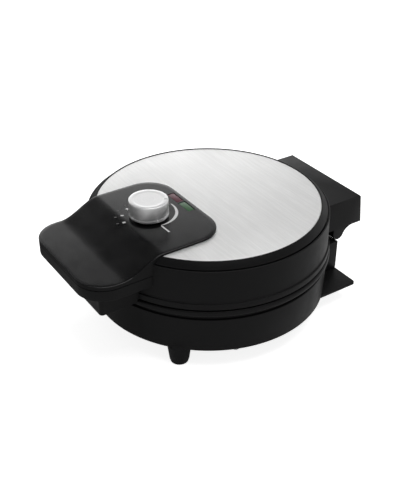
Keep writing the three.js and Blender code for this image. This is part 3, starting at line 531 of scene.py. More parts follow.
def brushed_sheet(name):
    """Steel brushed in one direction: long fine scratches, faint bands and a few fingermarks."""
    finish = Finish(name)
    along = finish.mapped((0, AXIS_Y, 0), scale=(0.02, 1, 1))
    fine = finish.noise(2600, 3, 0.7, along)
    broad = finish.noise(420, 2, 0.5, along)
    marks = finish.noise(28, 5, 0.6)
    streak = finish.span(fine, 0.35, 0.65, 0.0, 1.0)
    tone = finish.mixed(streak, (0.80, 0.80, 0.795), (0.90, 0.90, 0.895))
    finish.colour(finish.mixed(finish.span(broad, 0.4, 0.6, 0.0, 0.35), tone, (0.76, 0.76, 0.755)))
    brushed = finish.span(fine, 0.3, 0.7, 0.42, 0.52)
    fingered = finish.span(marks, 0.35, 0.7, 0.0, 0.06)
    finish.roughness(combined(finish.tree, "ADD", brushed, fingered))
    finish.bump(fine, 0.12, 0.01)
    finish.set(metallic=1.0)
    return finish.material


def spun_silver(name):
    """Silver knob: rings left by the lathe on its top and round its side."""
    finish = Finish(name)
    around = finish.mapped((*KNOB_AXIS, 0))
    split = finish.add("ShaderNodeSeparateXYZ")
    finish.link(around, split.inputs["Vector"])
    reach = finish.add("ShaderNodeVectorMath", operation="LENGTH")
    flat = finish.add("ShaderNodeCombineXYZ")
    finish.link(split.outputs["X"], flat.inputs["X"])
    finish.link(split.outputs["Y"], flat.inputs["Y"])
    finish.link(flat.outputs["Vector"], reach.inputs[0])
    line = finish.add("ShaderNodeCombineXYZ")
    finish.link(reach.outputs["Value"], line.inputs["X"])
    finish.link(split.outputs["Z"], line.inputs["Y"])
    rings = finish.noise(3600, 2, 0.6, line.outputs["Vector"])
    tone = finish.mixed(finish.span(rings, 0.35, 0.65, 0.0, 1.0), (0.86, 0.86, 0.86), (0.94, 0.94, 0.94))
    rubbed = finish.times(finish.worn_edges(0.5), finish.span(finish.noise(300, 3), 0.4, 0.7, 0.0, 0.6))
    finish.colour(finish.mixed(rubbed, tone, (0.96, 0.96, 0.96)))
    finish.roughness(finish.span(rings, 0.3, 0.7, 0.3, 0.4))
    finish.bump(rings, 0.15, 0.01)
    finish.set(metallic=0.9)
    return finish.material


def coated_casting(name):
    """Cast plate under a dark non-stick coating: fine speckle and a slight orange skin."""
    finish = Finish(name)
    speckle = finish.span(finish.noise(1500, 2, 0.7), 0.62, 0.72, 0.0, 0.6)
    body = finish.mixed(finish.noise(30, 4), (0.016, 0.016, 0.017), (0.024, 0.024, 0.025))
    rubbed = finish.times(finish.worn_edges(0.8), finish.span(finish.noise(200, 4), 0.45, 0.7, 0.0, 0.5))
    speckled = finish.mixed(speckle, body, (0.07, 0.07, 0.07))
    finish.colour(finish.mixed(rubbed, speckled, (0.10, 0.095, 0.09)))
    finish.roughness(finish.span(finish.noise(90, 4), 0.3, 0.7, 0.30, 0.46))
    finish.bump(finish.noise(700, 3, 0.55), 0.3, 0.04)
    finish.set(specular=0.5)
    return finish.material


def plain_metal(name, dark, light, low_rough, high_rough):
    """Plated or pressed metal with faint staining."""
    finish = Finish(name)
    finish.colour(finish.mixed(finish.noise(160, 5, 0.6), dark, light))
    finish.roughness(finish.span(finish.noise(420, 4), 0.3, 0.7, low_rough, high_rough))
    finish.bump(finish.noise(1800, 2), 0.15, 0.01)
    finish.set(metallic=1.0)
    return finish.material


def soft_rubber(name, dark, light):
    finish = Finish(name)
    dust = finish.span(finish.noise(260, 5, 0.65), 0.5, 0.75, 0.0, 0.5)
    finish.colour(finish.mixed(dust, dark, light))
    finish.roughness(finish.span(finish.noise(120, 3), 0.3, 0.7, 0.62, 0.82))
    finish.bump(finish.noise(1400, 3), 0.3, 0.03)
    finish.set(specular=0.3)
    return finish.material


def tinted_window(name, deep, clear):
    """Clear coloured plastic with fine ribs on its inside, lit by nothing behind it."""
    finish = Finish(name)
    ribs = finish.add("ShaderNodeTexWave", bands_direction="X")
    ribs.inputs["Scale"].default_value = 260
    finish.link(finish.place, ribs.inputs["Vector"])
    finish.colour(finish.mixed(ribs.outputs["Fac"], deep, clear))
    finish.roughness(finish.span(finish.noise(150, 3), 0.3, 0.7, 0.26, 0.36))
    finish.set(specular=0.35)
    return finish.material


def dial_ink(name, dark, light):
    finish = Finish(name)
    finish.colour(finish.mixed(finish.noise(900, 3), dark, light))
    finish.roughness(finish.span(finish.noise(300, 2), 0.3, 0.7, 0.4, 0.55))
    return finish.material


# the second colour is that of edges and lips: rubbing wear and painted highlight
body_plastic = moulded_plastic(
    "black_body_plastic", (0.007, 0.007, 0.0073), (0.028, 0.028, 0.028),
    grain=2600, low_rough=0.34, high_rough=0.46, specular=0.13,
)
panel_plastic = moulded_plastic(
    "black_panel_plastic", (0.004, 0.004, 0.0043), (0.02, 0.02, 0.02),
    grain=3200, low_rough=0.20, high_rough=0.27, specular=0.5,
)
steel_sheet = brushed_sheet("brushed_steel_sheet")
knob_silver = spun_silver("spun_silver")
plate_coating = coated_casting("non_stick_coating")
zinc_plate = plain_metal("zinc_plated_steel", (0.42, 0.42, 0.43), (0.58, 0.58, 0.58), 0.25, 0.4)
pressed_sheet = plain_metal("pressed_bright_sheet", (0.55, 0.55, 0.55), (0.68, 0.68, 0.68), 0.28, 0.42)
heater_sheath = plain_metal("oxidised_heater_tube", (0.12, 0.10, 0.085), (0.22, 0.19, 0.17), 0.45, 0.6)
black_rubber = soft_rubber("black_rubber", (0.010, 0.010, 0.010), (0.03, 0.03, 0.028))
red_window = tinted_window("red_window", (0.08, 0.02, 0.03), (0.14, 0.04, 0.06))
green_window = tinted_window("green_window", (0.03, 0.085, 0.035), (0.06, 0.15, 0.07))
dial_print = dial_ink("white_dial_print", (0.62, 0.62, 0.62), (0.74, 0.74, 0.74))
faint_print = dial_ink("faint_dial_print", (0.05, 0.05, 0.05), (0.075, 0.075, 0.075))


# Lid

def panel_height(y):
    """Level over the body, then a smooth fall to the handle."""
    share = min(max((SWEEP_START - y) / (SWEEP_START - SWEEP_END), 0), 1)
    return PANEL_TOP - (PANEL_TOP - HANDLE_TOP) * share * share * (3 - 2 * share)


def panel_plan(inset, **steps):
    return rounded_plan(
        PANEL_HALF - inset,
        PANEL_FRONT + inset,
        PANEL_REAR - inset,
        HANDLE_CORNER - inset,
        PANEL_CORNER - inset,
        **steps,
    )


def root_plan(inset, **steps):
    return rounded_plan(ROOT_HALF - inset, ROOT_FRONT + inset, AXIS_Y, ROOT_CORNER - inset, ROOT_CORNER, **steps)


def panel_notch(name, bottom, top):
    """What the panel and its skirt take out of the bezel and the lid's wall."""
    return upright(name, panel_plan(-SEAT), bottom, top)


def under_sweep(outline, drop):
    return [(x, y, panel_height(y) - drop) for x, y in outline]


def closing_rings(rim, drop, first=0):
    """Smaller and smaller copies of the panel's rim, at a depth under the swept top."""
    centre_y = (PANEL_FRONT + PANEL_REAR) / 2
    sizes = [1 - k / (PANEL_RINGS + 0.5) for k in range(first, PANEL_RINGS + 1)]
    return [under_sweep([(x * size, centre_y + (y - centre_y) * size) for x, y in rim], drop) for size in sizes]


def handle_panel():
    """Upper moulding: rings of its plan that rise over a rounded edge and close over the swept top."""
    steps = {"side_steps": 56, "end_steps": 14, "arc_steps": 14}
    edge, edge_steps, lip = 0.6, 4, 0.4
    rings = [level(panel_plan(lip, **steps), SEAM), level(panel_plan(0, **steps), SEAM + lip)]
    rings += [under_sweep(panel_plan(inset, **steps), drop) for drop, inset in quarter_round(edge, edge_steps)]
    rings += closing_rings(panel_plan(edge, **steps), 0, first=1)
    shell = stacked("handle_panel_moulding", rings)
    inner_rim = panel_plan(PANEL_WALL, **steps)
    hollow = stacked("panel_hollow", [level(inner_rim, SEAM - BEYOND), *closing_rings(inner_rim, PANEL_WALL)])
    room = disc("steel_room", DISC_RADIUS + SEAT, SEAM - BEYOND, DISC_TOP + SEAT, BODY_AXIS)
    inside = upright("rim_inside", panel_plan(PANEL_REST + SEAT), SEAM - 2 * BEYOND, PANEL_TOP + BEYOND)
    windows = [window_cutter("red_lens"), window_cutter("green_lens")]
    shaft_hole = disc("shaft_hole", SHAFT_HOLE, DISC_TOP, PANEL_TOP + BEYOND, KNOB_AXIS, 64)
    carved(shell, hollow, carved(room, inside))
    carved(shell, *screw_bosses(), operation="UNION")
    carved(shell, *windows, shaft_hole)
    dressed(shell, panel_plastic, "lid", "panel_plastic", "handle_panel", smooth=35)
    shell.data.materials.append(body_plastic)
    for face in shell.data.polygons:
        face.material_index = int(face.normal.z < MATT_BELOW)


def screw_bosses():
    """Posts inside the moulding that the bracket's and the handle's screws run into."""
    over_head = 0.6  # a post's radius past the head of its screw
    into_roof = 0.6  # how far a post runs into the panel's wall
    posts = []
    for kind, foot, roof in (
        ("bracket_screw", low("thermostat_bracket").z + 2, PANEL_TOP),
        ("handle_screw", HANDLE_LOW + PANEL_WALL + SEAT, HANDLE_TOP),
    ):
        for side in ("left", "right"):
            screw = f"{kind}_{side}"
            reach = (high(screw).x - low(screw).x) / 2 + over_head
            place = middle(screw).xy
            post = disc(f"{screw}_boss", reach, foot, roof - PANEL_WALL + into_roof, place, 40)
            thread = disc("thread", THREAD_BORE, foot - BEYOND, high(screw).z + SEAT, place, 24)
            posts.append(carved(post, thread))
    return posts


def window_cutter(node):
    """The window's opening, a seat wider than the pane that stands in it."""
    flange = Vector((LENS_FLANGE, LENS_FLANGE, 0))
    lowest = low(node) + flange
    highest = high(node) - flange
    lowest.z, highest.z = DISC_TOP, PANEL_TOP + BEYOND
    return box_cutter(f"{node}_opening", lowest, highest)


def lens(node, finish, slot):
    """A pane with softened edges, a seat smaller than its opening, on the flange that holds it."""
    edge = Vector((1, 1, 0)) * (LENS_FLANGE + SEAT)
    bottom, top = low(node), high(node)
    pane_low, pane_high = bottom + edge, top - edge
    flange_top = PANEL_TOP - PANEL_WALL - SEAT
    into_flange = 0.5
    pane = edged(box_cutter("pane", (*pane_low.xy, flange_top - into_flange), tuple(pane_high)), 0.5, 4)
    flange = edged(box_cutter("flange", tuple(bottom), (*top.xy, flange_top)), 0.2, 2)
    return dressed(merged(f"{node}_pane", pane, flange), finish, "lid", slot, node)


def steel_top():
    """Pressed sheet with a rolled edge, cut away under the panel."""
    sheet = turned("brushed_steel_top", [
        (0, DISC_LOW, 0),
        (DISC_RADIUS, DISC_LOW, 0.1),
        (DISC_RADIUS, DISC_TOP, 0.7),
        (0, DISC_TOP, 0),
    ], BODY_AXIS)
    carved(sheet, upright("under_panel", panel_plan(PANEL_REST), DISC_LOW - BEYOND, DISC_TOP + BEYOND))
    return dressed(sheet, steel_sheet, "lid", "top_steel", "steel_top")


def top_bezel():
    """Sloping ring round the steel, with the ledge that the steel lies on."""
    ledge = DISC_LOW - SEAT
    ledge_reach = 6
    ledge_thickness = 2.6
    ring = turned("sloping_bezel", [
        (BEZEL_RADIUS, BEZEL_LOW, 0),
        (BEZEL_RADIUS, BEZEL_LOW + 2.8, 1.2),
        (DISC_RADIUS + SEAT + 0.8, DISC_TOP + BEZEL_PROUD, 0.3),
        (DISC_RADIUS + SEAT, DISC_TOP + BEZEL_PROUD, 0.1),
        (DISC_RADIUS + SEAT, ledge, 0),
        (DISC_RADIUS - ledge_reach, ledge, 0),
        (DISC_RADIUS - ledge_reach, ledge - ledge_thickness, 0),
        (BEZEL_RADIUS - ledge_thickness, BEZEL_LOW, 0),
    ], BODY_AXIS)
    carved(ring, panel_notch("bezel_notch", BEZEL_LOW - BEYOND, DISC_TOP + BEYOND))
    return dressed(ring, body_plastic, "lid", "body_plastic", "top_bezel")


def lid_wall():
    """Round wall with the outer lip below, the bezel's shelf above and the plate's ledge inside."""
    shelf = LID_SHOULDER - 2
    shelf_width = 14
    bezel_room = BEZEL_RADIUS + 0.8
    inside = LID_WALL_RADIUS - SHELL_WALL
    ring = turned("lid_wall", [
        (LID_LIP_RADIUS, LID_FLOOR, 0.8),
        (LID_LIP_RADIUS, LID_LIP_TOP, 0.6),
        (LID_FOOT_RADIUS, LID_LIP_TOP, 0.4),
        (LID_WALL_RADIUS, LID_SHOULDER, 0.5),
        (bezel_room, LID_SHOULDER, 0.4),
        (bezel_room, shelf, 0),
        (BEZEL_RADIUS - shelf_width, shelf, 0),
        (BEZEL_RADIUS - shelf_width, shelf - SHELL_WALL, 0),
        (inside, shelf - SHELL_WALL, 0),
        (inside, LID_LEDGE + LEDGE_THICKNESS, 0),
        (PLATE_RADIUS - LEDGE_WIDTH, LID_LEDGE + LEDGE_THICKNESS, 0),
        (PLATE_RADIUS - LEDGE_WIDTH, LID_LEDGE, 0),
        (RIM_RADIUS, LID_LEDGE, 0),
        (RIM_RADIUS, LID_FLOOR, 0.8),
    ], BODY_AXIS)
    return carved(ring, panel_notch("wall_notch", SEAM - SEAT, DISC_TOP))


def hinge_block_outline(inset, bottom):
    rear = BLOCK_REAR - inset
    top = BLOCK_TOP - inset
    front = AXIS_Y + LID_WALL_RADIUS / 2
    return [
        (front, bottom),
        (rear, bottom),
        (rear - BLOCK_LEAN, top - BLOCK_CHAMFER),
        (rear - BLOCK_LEAN - BLOCK_CHAMFER, top),
        (front, top),
    ]


def knuckle_outline(roof):
    """A round cheek that runs up into the block through a hollow curve."""
    fillet_z = BLOCK_LOW - KNUCKLE_FILLET
    behind_axis = sqrt((KNUCKLE_RADIUS + KNUCKLE_FILLET) ** 2 - (HINGE_Z - fillet_z) ** 2)
    meeting = atan2(fillet_z - HINGE_Z, behind_axis)
    fillet_y = HINGE_Y + behind_axis
    cheek = arc((HINGE_Y, HINGE_Z), KNUCKLE_RADIUS, -pi, pi + meeting, 24)
    hollow = arc((fillet_y, fillet_z), KNUCKLE_FILLET, pi + meeting, -(0.5 * pi + meeting), 10, first=1)
    return cheek + hollow + [(fillet_y, roof), (HINGE_Y - KNUCKLE_RADIUS, roof)]


def hinge_block():
    """Hollow block behind the lid, with a cheek at each end that takes a hinge pin."""
    block = across("hinge_block", hinge_block_outline(0, BLOCK_LOW), -BLOCK_HALF, BLOCK_HALF)
    knuckle_inner = LUG_INNER + LUG_WIDTH + RUN_GAP
    for side in (-1, 1):
        near, far = sorted((side * knuckle_inner, side * BLOCK_HALF))
        carved(block, across("knuckle", knuckle_outline(BLOCK_TOP - SHELL_WALL), near, far), operation="UNION")
    edged(block, 0.5)
    inner = BLOCK_HALF - SHELL_WALL
    hollow = across("block_hollow", hinge_block_outline(SHELL_WALL, BLOCK_LOW - BEYOND), -knuckle_inner, knuckle_inner)
    inside = disc("lid_inside", LID_WALL_RADIUS - SHELL_WALL, LID_FLOOR - BEYOND, DISC_TOP, BODY_AXIS)
    base_room = disc("base_room", BASE_LIP_RADIUS + RUN_GAP, LID_FLOOR - BEYOND, LID_FLOOR + 0.1, BODY_AXIS)
    bores = [pin_bore("left_bore", -inner, 0), pin_bore("right_bore", 0, inner)]
    return carved(block, hollow, inside, base_room, *bores)


def pin_bore(name, left, right):
    return across(name, arc((HINGE_Y, HINGE_Z), PIN_BORE, 0, 2 * pi, 32)[:-1], left, right)


def lid_shell():
    shell = merged("lid_shell", lid_wall(), hinge_block())
    return dressed(shell, body_plastic, "lid", "body_plastic", "upper_housing")


def handle_underside():
    """Lower moulding: the grip's tray and the deep root that stands in front of the lid."""
    top = SEAM - SEAT
    tray = rounded_below("tray", panel_plan, HANDLE_LOW, top, lip=0.4)
    root = rounded_below("root", root_plan, ROOT_LOW, top - 1)
    recess_radius, recess_depth = 4.6, 0.4
    recess = HANDLE_LOW - BEYOND, HANDLE_LOW + recess_depth
    holes = [
        disc(f"screw_recess_{side}", recess_radius, *recess, middle(f"handle_screw_{side}").xy, 48)
        for side in ("left", "right")
    ]
    carved(tray, lid_room("tray_room"), behind("tray_behind"), *holes)
    carved(root, lid_room("root_room"), behind("root_behind"))
    shell = merged("handle_underside", tray, root)
    return dressed(shell, body_plastic, "lid", "body_plastic", "handle_lower_shell")


def rounded_below(name, plan, bottom, top, lip=0):
    """A plan raised from bottom to top, its lower edge rounded and its upper edge broken by the lip."""
    edge, arc_steps = 0.5, 16
    rings = [level(plan(inset, arc_steps=arc_steps), bottom + rise) for inset, rise in quarter_round(edge, 5)]
    rings.append(level(plan(0, arc_steps=arc_steps), top - lip))
    if lip:
        rings.append(level(plan(lip, arc_steps=arc_steps), top))
    return stacked(name, rings)


def lid_room(name):
    """What the lid's wall and the base's lip take out of the handle, with their gaps."""
    return turned(name, [
        (0, ROOT_LOW - BEYOND, 0),
        (BASE_LIP_RADIUS + RUN_GAP, ROOT_LOW - BEYOND, 0),
        (BASE_LIP_RADIUS + RUN_GAP, LID_FLOOR, 0),
        (LID_LIP_RADIUS + SEAT, LID_FLOOR, 0),
        (LID_LIP_RADIUS + SEAT, LID_LIP_TOP + SEAT, 0),
        (LID_FOOT_RADIUS + SEAT, LID_LIP_TOP + SEAT, 0),
        (LID_FOOT_RADIUS + SEAT, DISC_TOP, 0),
        (0, DISC_TOP, 0),
    ], BODY_AXIS)


def behind(name):
    """The part of the handle's plan that lies inside the lid."""
    wide = PANEL_HALF + BEYOND
    front = AXIS_Y - LID_WALL_RADIUS / 2
    return box_cutter(name, (-wide, front, ROOT_LOW - BEYOND), (wide, AXIS_Y + BEYOND * 2, DISC_TOP))


# Knob

def knob():
    """Cap with a fine groove round its side and a slightly sunk middle, and the collar under it."""
    bottom, top = low("knob_cap").z, high("knob_cap").z
    radius = high("knob_cap").x
    skirt_wall, recess = 1.6, 1.2
    socket_radius, socket_top = 4, bottom + 3
    groove_low, groove_width, groove_depth = bottom + 2.0, 0.8, 0.2
    rim_width, sunk = 3.2, 0.1
    cap = turned("knob_silver_cap", [
        (socket_radius, bottom + recess, 0),
        (radius - skirt_wall, bottom + recess, 0),
        (radius - skirt_wall, bottom, 0.3),
        (radius, bottom, 0.25),
        (radius, groove_low, 0.1),
        (radius - groove_depth, groove_low + groove_depth, 0.1),
        (radius - groove_depth, groove_low + groove_width - groove_depth, 0.1),
        (radius, groove_low + groove_width, 0.1),
        (radius - 0.2, top, 0.8),
        (radius - rim_width, top, 0.6),
        (radius - rim_width - 2, top - sunk, 0.8),
        (0, top - sunk - 0.02, 0),
        (0, socket_top, 0),
        (socket_radius, socket_top, 0),
    ], KNOB_AXIS, 128)
    carved(cap, pointer_groove(radius, top))
    dressed(cap, knob_silver, "knob", "knob_silver", "knob_cap")
    collar_low, collar_top = low("knob_skirt").z, high("knob_skirt").z
    collar_radius = high("knob_skirt").x
    collar_wall, collar_taper = 5, 0.3
    step = (collar_low + collar_top) / 2
    collar = turned("knob_collar", [
        (SHAFT_BORE, step, 0),
        (collar_radius - collar_wall, step, 0),
        (collar_radius - collar_wall, collar_low, 0.2),
        (collar_radius, collar_low, 0.4),
        (collar_radius - collar_taper, collar_top, 0.4),
        (SHAFT_BORE, collar_top, 0),
    ], KNOB_AXIS, 96)
    dressed(collar, body_plastic, "knob", "body_plastic", "knob_skirt")


def pointer_groove(radius, top):
    """A short slot in the cap's rim that shows where the knob points when off."""
    length, width, floor_level = 3.4, 1.1, top - 0.95
    outer = radius - 0.6
    slot = box_cutter("pointer", (outer - length, -width / 2, floor_level), (outer, width / 2, top + BEYOND))
    return moved(slot, (*KNOB_AXIS, 0), POINTER_ANGLE, "Z")


# Base

def base_wall():
    """Round wall with a groove under its lip, and the ledge that carries the plate."""
    lip_low = BASE_TOP - BASE_LIP
    groove_low = lip_low - GROOVE
    groove_radius = BASE_WALL_RADIUS - GROOVE_DEPTH
    return turned("base_wall", [
        (BASE_FOOT_RADIUS, BASE_FLOOR, 0.5),
        (BASE_WALL_RADIUS, groove_low, 0.8),
        (groove_radius, groove_low + 0.8, 0.3),
        (groove_radius, lip_low, 0.3),
        (BASE_LIP_RADIUS, lip_low, 1.6),
        (BASE_LIP_RADIUS, BASE_TOP, 2.0),
        (RIM_RADIUS, BASE_TOP, 0.8),
        (RIM_RADIUS, BASE_LEDGE, 0),
        (PLATE_RADIUS - LEDGE_WIDTH, BASE_LEDGE, 0),
        (PLATE_RADIUS - LEDGE_WIDTH, BASE_LEDGE - LEDGE_THICKNESS, 0),
        (BASE_WALL_RADIUS - SHELL_WALL, BASE_LEDGE - LEDGE_THICKNESS, 0),
        (BASE_FOOT_RADIUS - SHELL_WALL, BASE_FLOOR, 0.4),
    ], BODY_AXIS)


def rear_post():
    """Box under the hinge with the cord's inlet in its rear face."""
    front = AXIS_Y + BASE_FOOT_RADIUS / 2
    plan = [(-POST_HALF, front), (POST_HALF, front), (POST_HALF, POST_REAR), (-POST_HALF, POST_REAR)]
    post = edged(upright("rear_post", plan, BASE_FLOOR, POST_TOP), 0.4)
    room = disc("post_front", BASE_FOOT_RADIUS - SHELL_WALL, BASE_FLOOR - BEYOND, POST_TOP + BEYOND, BODY_AXIS)
    barrel = (high(INLET_BUSH).x - low(INLET_BUSH).x) / 2 - BUSH_FLANGE
    circle = arc((0, middle(INLET_BUSH).z), barrel + SEAT, 0, 2 * pi, 64)[:-1]
    hole = stacked("inlet_hole", [[(x, y, z) for x, z in circle] for y in (POST_REAR - 20, POST_REAR + BEYOND)])
    inner = POST_HALF - SHELL_WALL
    roof = BASE_LEDGE - LEDGE_THICKNESS - SHELL_WALL
    hollow = box_cutter("post_hollow", (-inner, AXIS_Y, BASE_FLOOR - BEYOND), (inner, POST_REAR - SHELL_WALL, roof))
    return carved(post, room, hollow, hole)


def hinge_lug(side):
    near, far = sorted((side * LUG_INNER, side * (LUG_INNER + LUG_WIDTH)))
    foot = [(POST_REAR - LUG_FOOT, POST_TOP - SHELL_WALL), (POST_REAR, POST_TOP - SHELL_WALL), (POST_REAR, POST_TOP)]
    round_end = arc((HINGE_Y, HINGE_Z), LUG_RADIUS, -0.5 * pi, 1.5 * pi, 36)
    lug = edged(across("hinge_lug", foot + round_end, near, far), 0.5)
    return carved(lug, pin_bore("lug_bore", near - BEYOND, far + BEYOND))


def foot(pad):
    """A leg of the base shell, rounded where it meets its rubber pad, with a socket for the pad's stem."""
    centre = middle(pad)
    bottom = PAD_HEIGHT + SEAT
    socket_top = high(pad).z + SEAT
    return turned("foot", [
        (PAD_STEM + SEAT, bottom, 0),
        (FOOT_RADIUS - FOOT_TAPER, bottom, 0.7),
        (FOOT_RADIUS, BASE_FLOOR, 0.8),
        (FOOT_RADIUS - 3, BASE_FLOOR + FOOT_RISE, 1.0),
        (0, BASE_FLOOR + FOOT_RISE, 0),
        (0, socket_top, 0),
        (PAD_STEM + SEAT, socket_top, 0),
    ], centre.xy, 64)


def screw_post(screw):
    """Boss inside the shell that a screw of the bottom cover runs into."""
    roof = BASE_LEDGE - LEDGE_THICKNESS + BOSS_OVERLAP
    return screw_boss("screw_post", BASE_FLOOR, roof, high(screw).z + SEAT, middle(screw).xy, 48)


def base_shell():
    parts = [base_wall(), rear_post(), hinge_lug(-1), hinge_lug(1)]
    parts += [foot(pad) for pad in PADS]
    parts += [screw_post(screw) for screw in COVER_SCREWS]
    return dressed(merged("base_shell", *parts), body_plastic, "base", "body_plastic", "lower_housing")


def foot_pads():
    """Rubber pads with a ring groove in the face that grips the table."""
    parts = []
    for pad in PADS:
        centre = middle(pad)
        radius = high(pad).x - centre.x
        parts.append(turned("pad", [
            (0, 0.25, 0),
            (radius - 3.1, 0.25, 0.1),
            (radius - 2.7, 0, 0.2),
            (radius, 0, 0.8),
            (radius, PAD_HEIGHT, 0.4),
            (PAD_STEM, PAD_HEIGHT, 0.2),
            (PAD_STEM, high(pad).z, 0.5),
            (0, high(pad).z, 0),
        ], centre.xy, 48))
    return dressed(merged("rubber_foot_pads", *parts), black_rubber, "base", "rubber", *PADS)


def cover_outline():
    """The round cover that runs out at the rear into a square flange."""
    radius, corner = BASE_FOOT_RADIUS - SHELL_WALL - 2.3, 3
    start = atan2(sqrt(radius ** 2 - CORD_FLANGE_HALF ** 2), CORD_FLANGE_HALF)
    outline = arc(BODY_AXIS, radius, start, -(pi + 2 * start), 150)
    corner_x, corner_y = CORD_FLANGE_HALF - corner, POST_REAR - corner
    outline += arc((-corner_x, corner_y), corner, pi, -0.5 * pi, 6)
    return outline + arc((corner_x, corner_y), corner, 0.5 * pi, -0.5 * pi, 6)


def base_cover():
    cover = edged(upright("bottom_cover", cover_outline(), low("base_cover").z, high("base_cover").z), 0.6)
    feet = [disc("foot_hole", FOOT_RADIUS + SEAT, 0, BASE_FLOOR, middle(pad).xy, 48) for pad in PADS]
    screws = [disc("cover_screw_hole", SCREW_BORE, 0, BASE_FLOOR, middle(screw).xy, 32) for screw in COVER_SCREWS]
    carved(cover, merged("holes", *feet, *screws), vent_slots())
    return dressed(cover, body_plastic, "base", "body_plastic", "base_cover")


def tree_with(name, *inputs):
    """An empty geometry tree with named inputs, and short ways to add and link its nodes."""
    tree = bpy.data.node_groups.new(name, "GeometryNodeTree")
    for label, kind in inputs:
        tree.interface.new_socket(name=label, in_out="INPUT", socket_type=kind)
    tree.interface.new_socket(name="Made", in_out="OUTPUT", socket_type="NodeSocketGeometry")

    def add(kind, links=(), **settings):
        node = tree.nodes.new(kind)
        for key, value in settings.items():
            setattr(node, key, value)
        for socket, source in links:
            if isinstance(source, bpy.types.NodeSocket):
                tree.links.new(source, node.inputs[socket])
            else:
                node.inputs[socket].default_value = source
        return node

    return tree, add


def ended(add, instances, material):
    """The end of every tree: real geometry in its material."""
    real = add("GeometryNodeRealizeInstances", [("Geometry", instances)])
    coat = add("GeometryNodeSetMaterial", [("Geometry", real.outputs["Geometry"]), ("Material", material)])
    add("NodeGroupOutput", [("Made", coat.outputs["Geometry"])])


def times(add, first, second):
    return add("ShaderNodeMath", [(0, first), (1, second)], operation="MULTIPLY").outputs["Value"]


def node_made(name, tree, places, **sizes):
    """Runs a geometry tree on a mesh of points and keeps the plain mesh that it makes."""
    mesh = bpy.data.meshes.new(name)
    mesh.from_pydata([Vector(place) * MM for place in places], [], [])
    obj = placed(name, mesh)
    modifier = obj.modifiers.new("made", "NODES")
    modifier.node_group = tree
    for socket in tree.interface.items_tree:
        if socket.in_out == "INPUT" and socket.name in sizes:
            modifier[socket.identifier] = sizes[socket.name]
    return baked(obj)


def slot_tree():
    """Round-ended slots in a row along y that starts at each point."""
    tree, add = tree_with(
        "vent_slots",
        ("Row start", "NodeSocketGeometry"),
        ("Count", "NodeSocketInt"),
        ("Length", "NodeSocketFloat"),
        ("Width", "NodeSocketFloat"),
        ("Pitch", "NodeSocketFloat"),
        ("Depth", "NodeSocketFloat"),
    )
    given = add("NodeGroupInput").outputs
    plan = add("GeometryNodeCurvePrimitiveQuadrilateral", [("Width", given["Length"]), ("Height", given["Width"])])
    corner = add("GeometryNodeFilletCurve", [
        ("Curve", plan.outputs["Curve"]),
        ("Count", 8),
        ("Radius", times(add, given["Width"], 0.499)),
        ("Limit Radius", True),
    ], mode="POLY")
    face = add("GeometryNodeFillCurve", [("Curve", corner.outputs["Curve"])], mode="NGONS").outputs["Mesh"]
    walls = add("GeometryNodeExtrudeMesh", [("Mesh", face), ("Individual", False), ("Offset Scale", given["Depth"])])
    under = add("GeometryNodeFlipFaces", [("Mesh", face)])
    whole = add("GeometryNodeJoinGeometry")
    for part in (walls, under):
        tree.links.new(part.outputs["Mesh"], whole.inputs["Geometry"])
    closed = add("GeometryNodeMergeByDistance", [("Geometry", whole.outputs["Geometry"]), ("Distance", 1e-6)])
    step = add("ShaderNodeCombineXYZ", [("Y", given["Pitch"])])
    row = add("GeometryNodeMeshLine", [("Count", given["Count"]), ("Offset", step.outputs["Vector"])])
    slots = add("GeometryNodeInstanceOnPoints", [
        ("Points", row.outputs["Mesh"]),
        ("Instance", closed.outputs["Geometry"]),
    ])
    rows = add("GeometryNodeInstanceOnPoints", [
        ("Points", given["Row start"]),
        ("Instance", slots.outputs["Instances"]),
    ])
    ended(add, rows.outputs["Instances"], body_plastic)
    return tree


def vent_slots():
    bottom, top = low("base_cover").z, high("base_cover").z
    row_start = AXIS_Y - (VENT_COUNT - 1) * VENT_PITCH / 2
    return node_made(
        "vent_slots",
        slot_tree(),
        [(0, row_start, bottom - BEYOND)],
        Count=VENT_COUNT,
        Length=VENT_LENGTH * MM,
        Width=VENT_WIDTH * MM,
        Pitch=VENT_PITCH * MM,
        Depth=(top - bottom + 2 * BEYOND) * MM,
    )


# Screws, pins and the inlet's bush

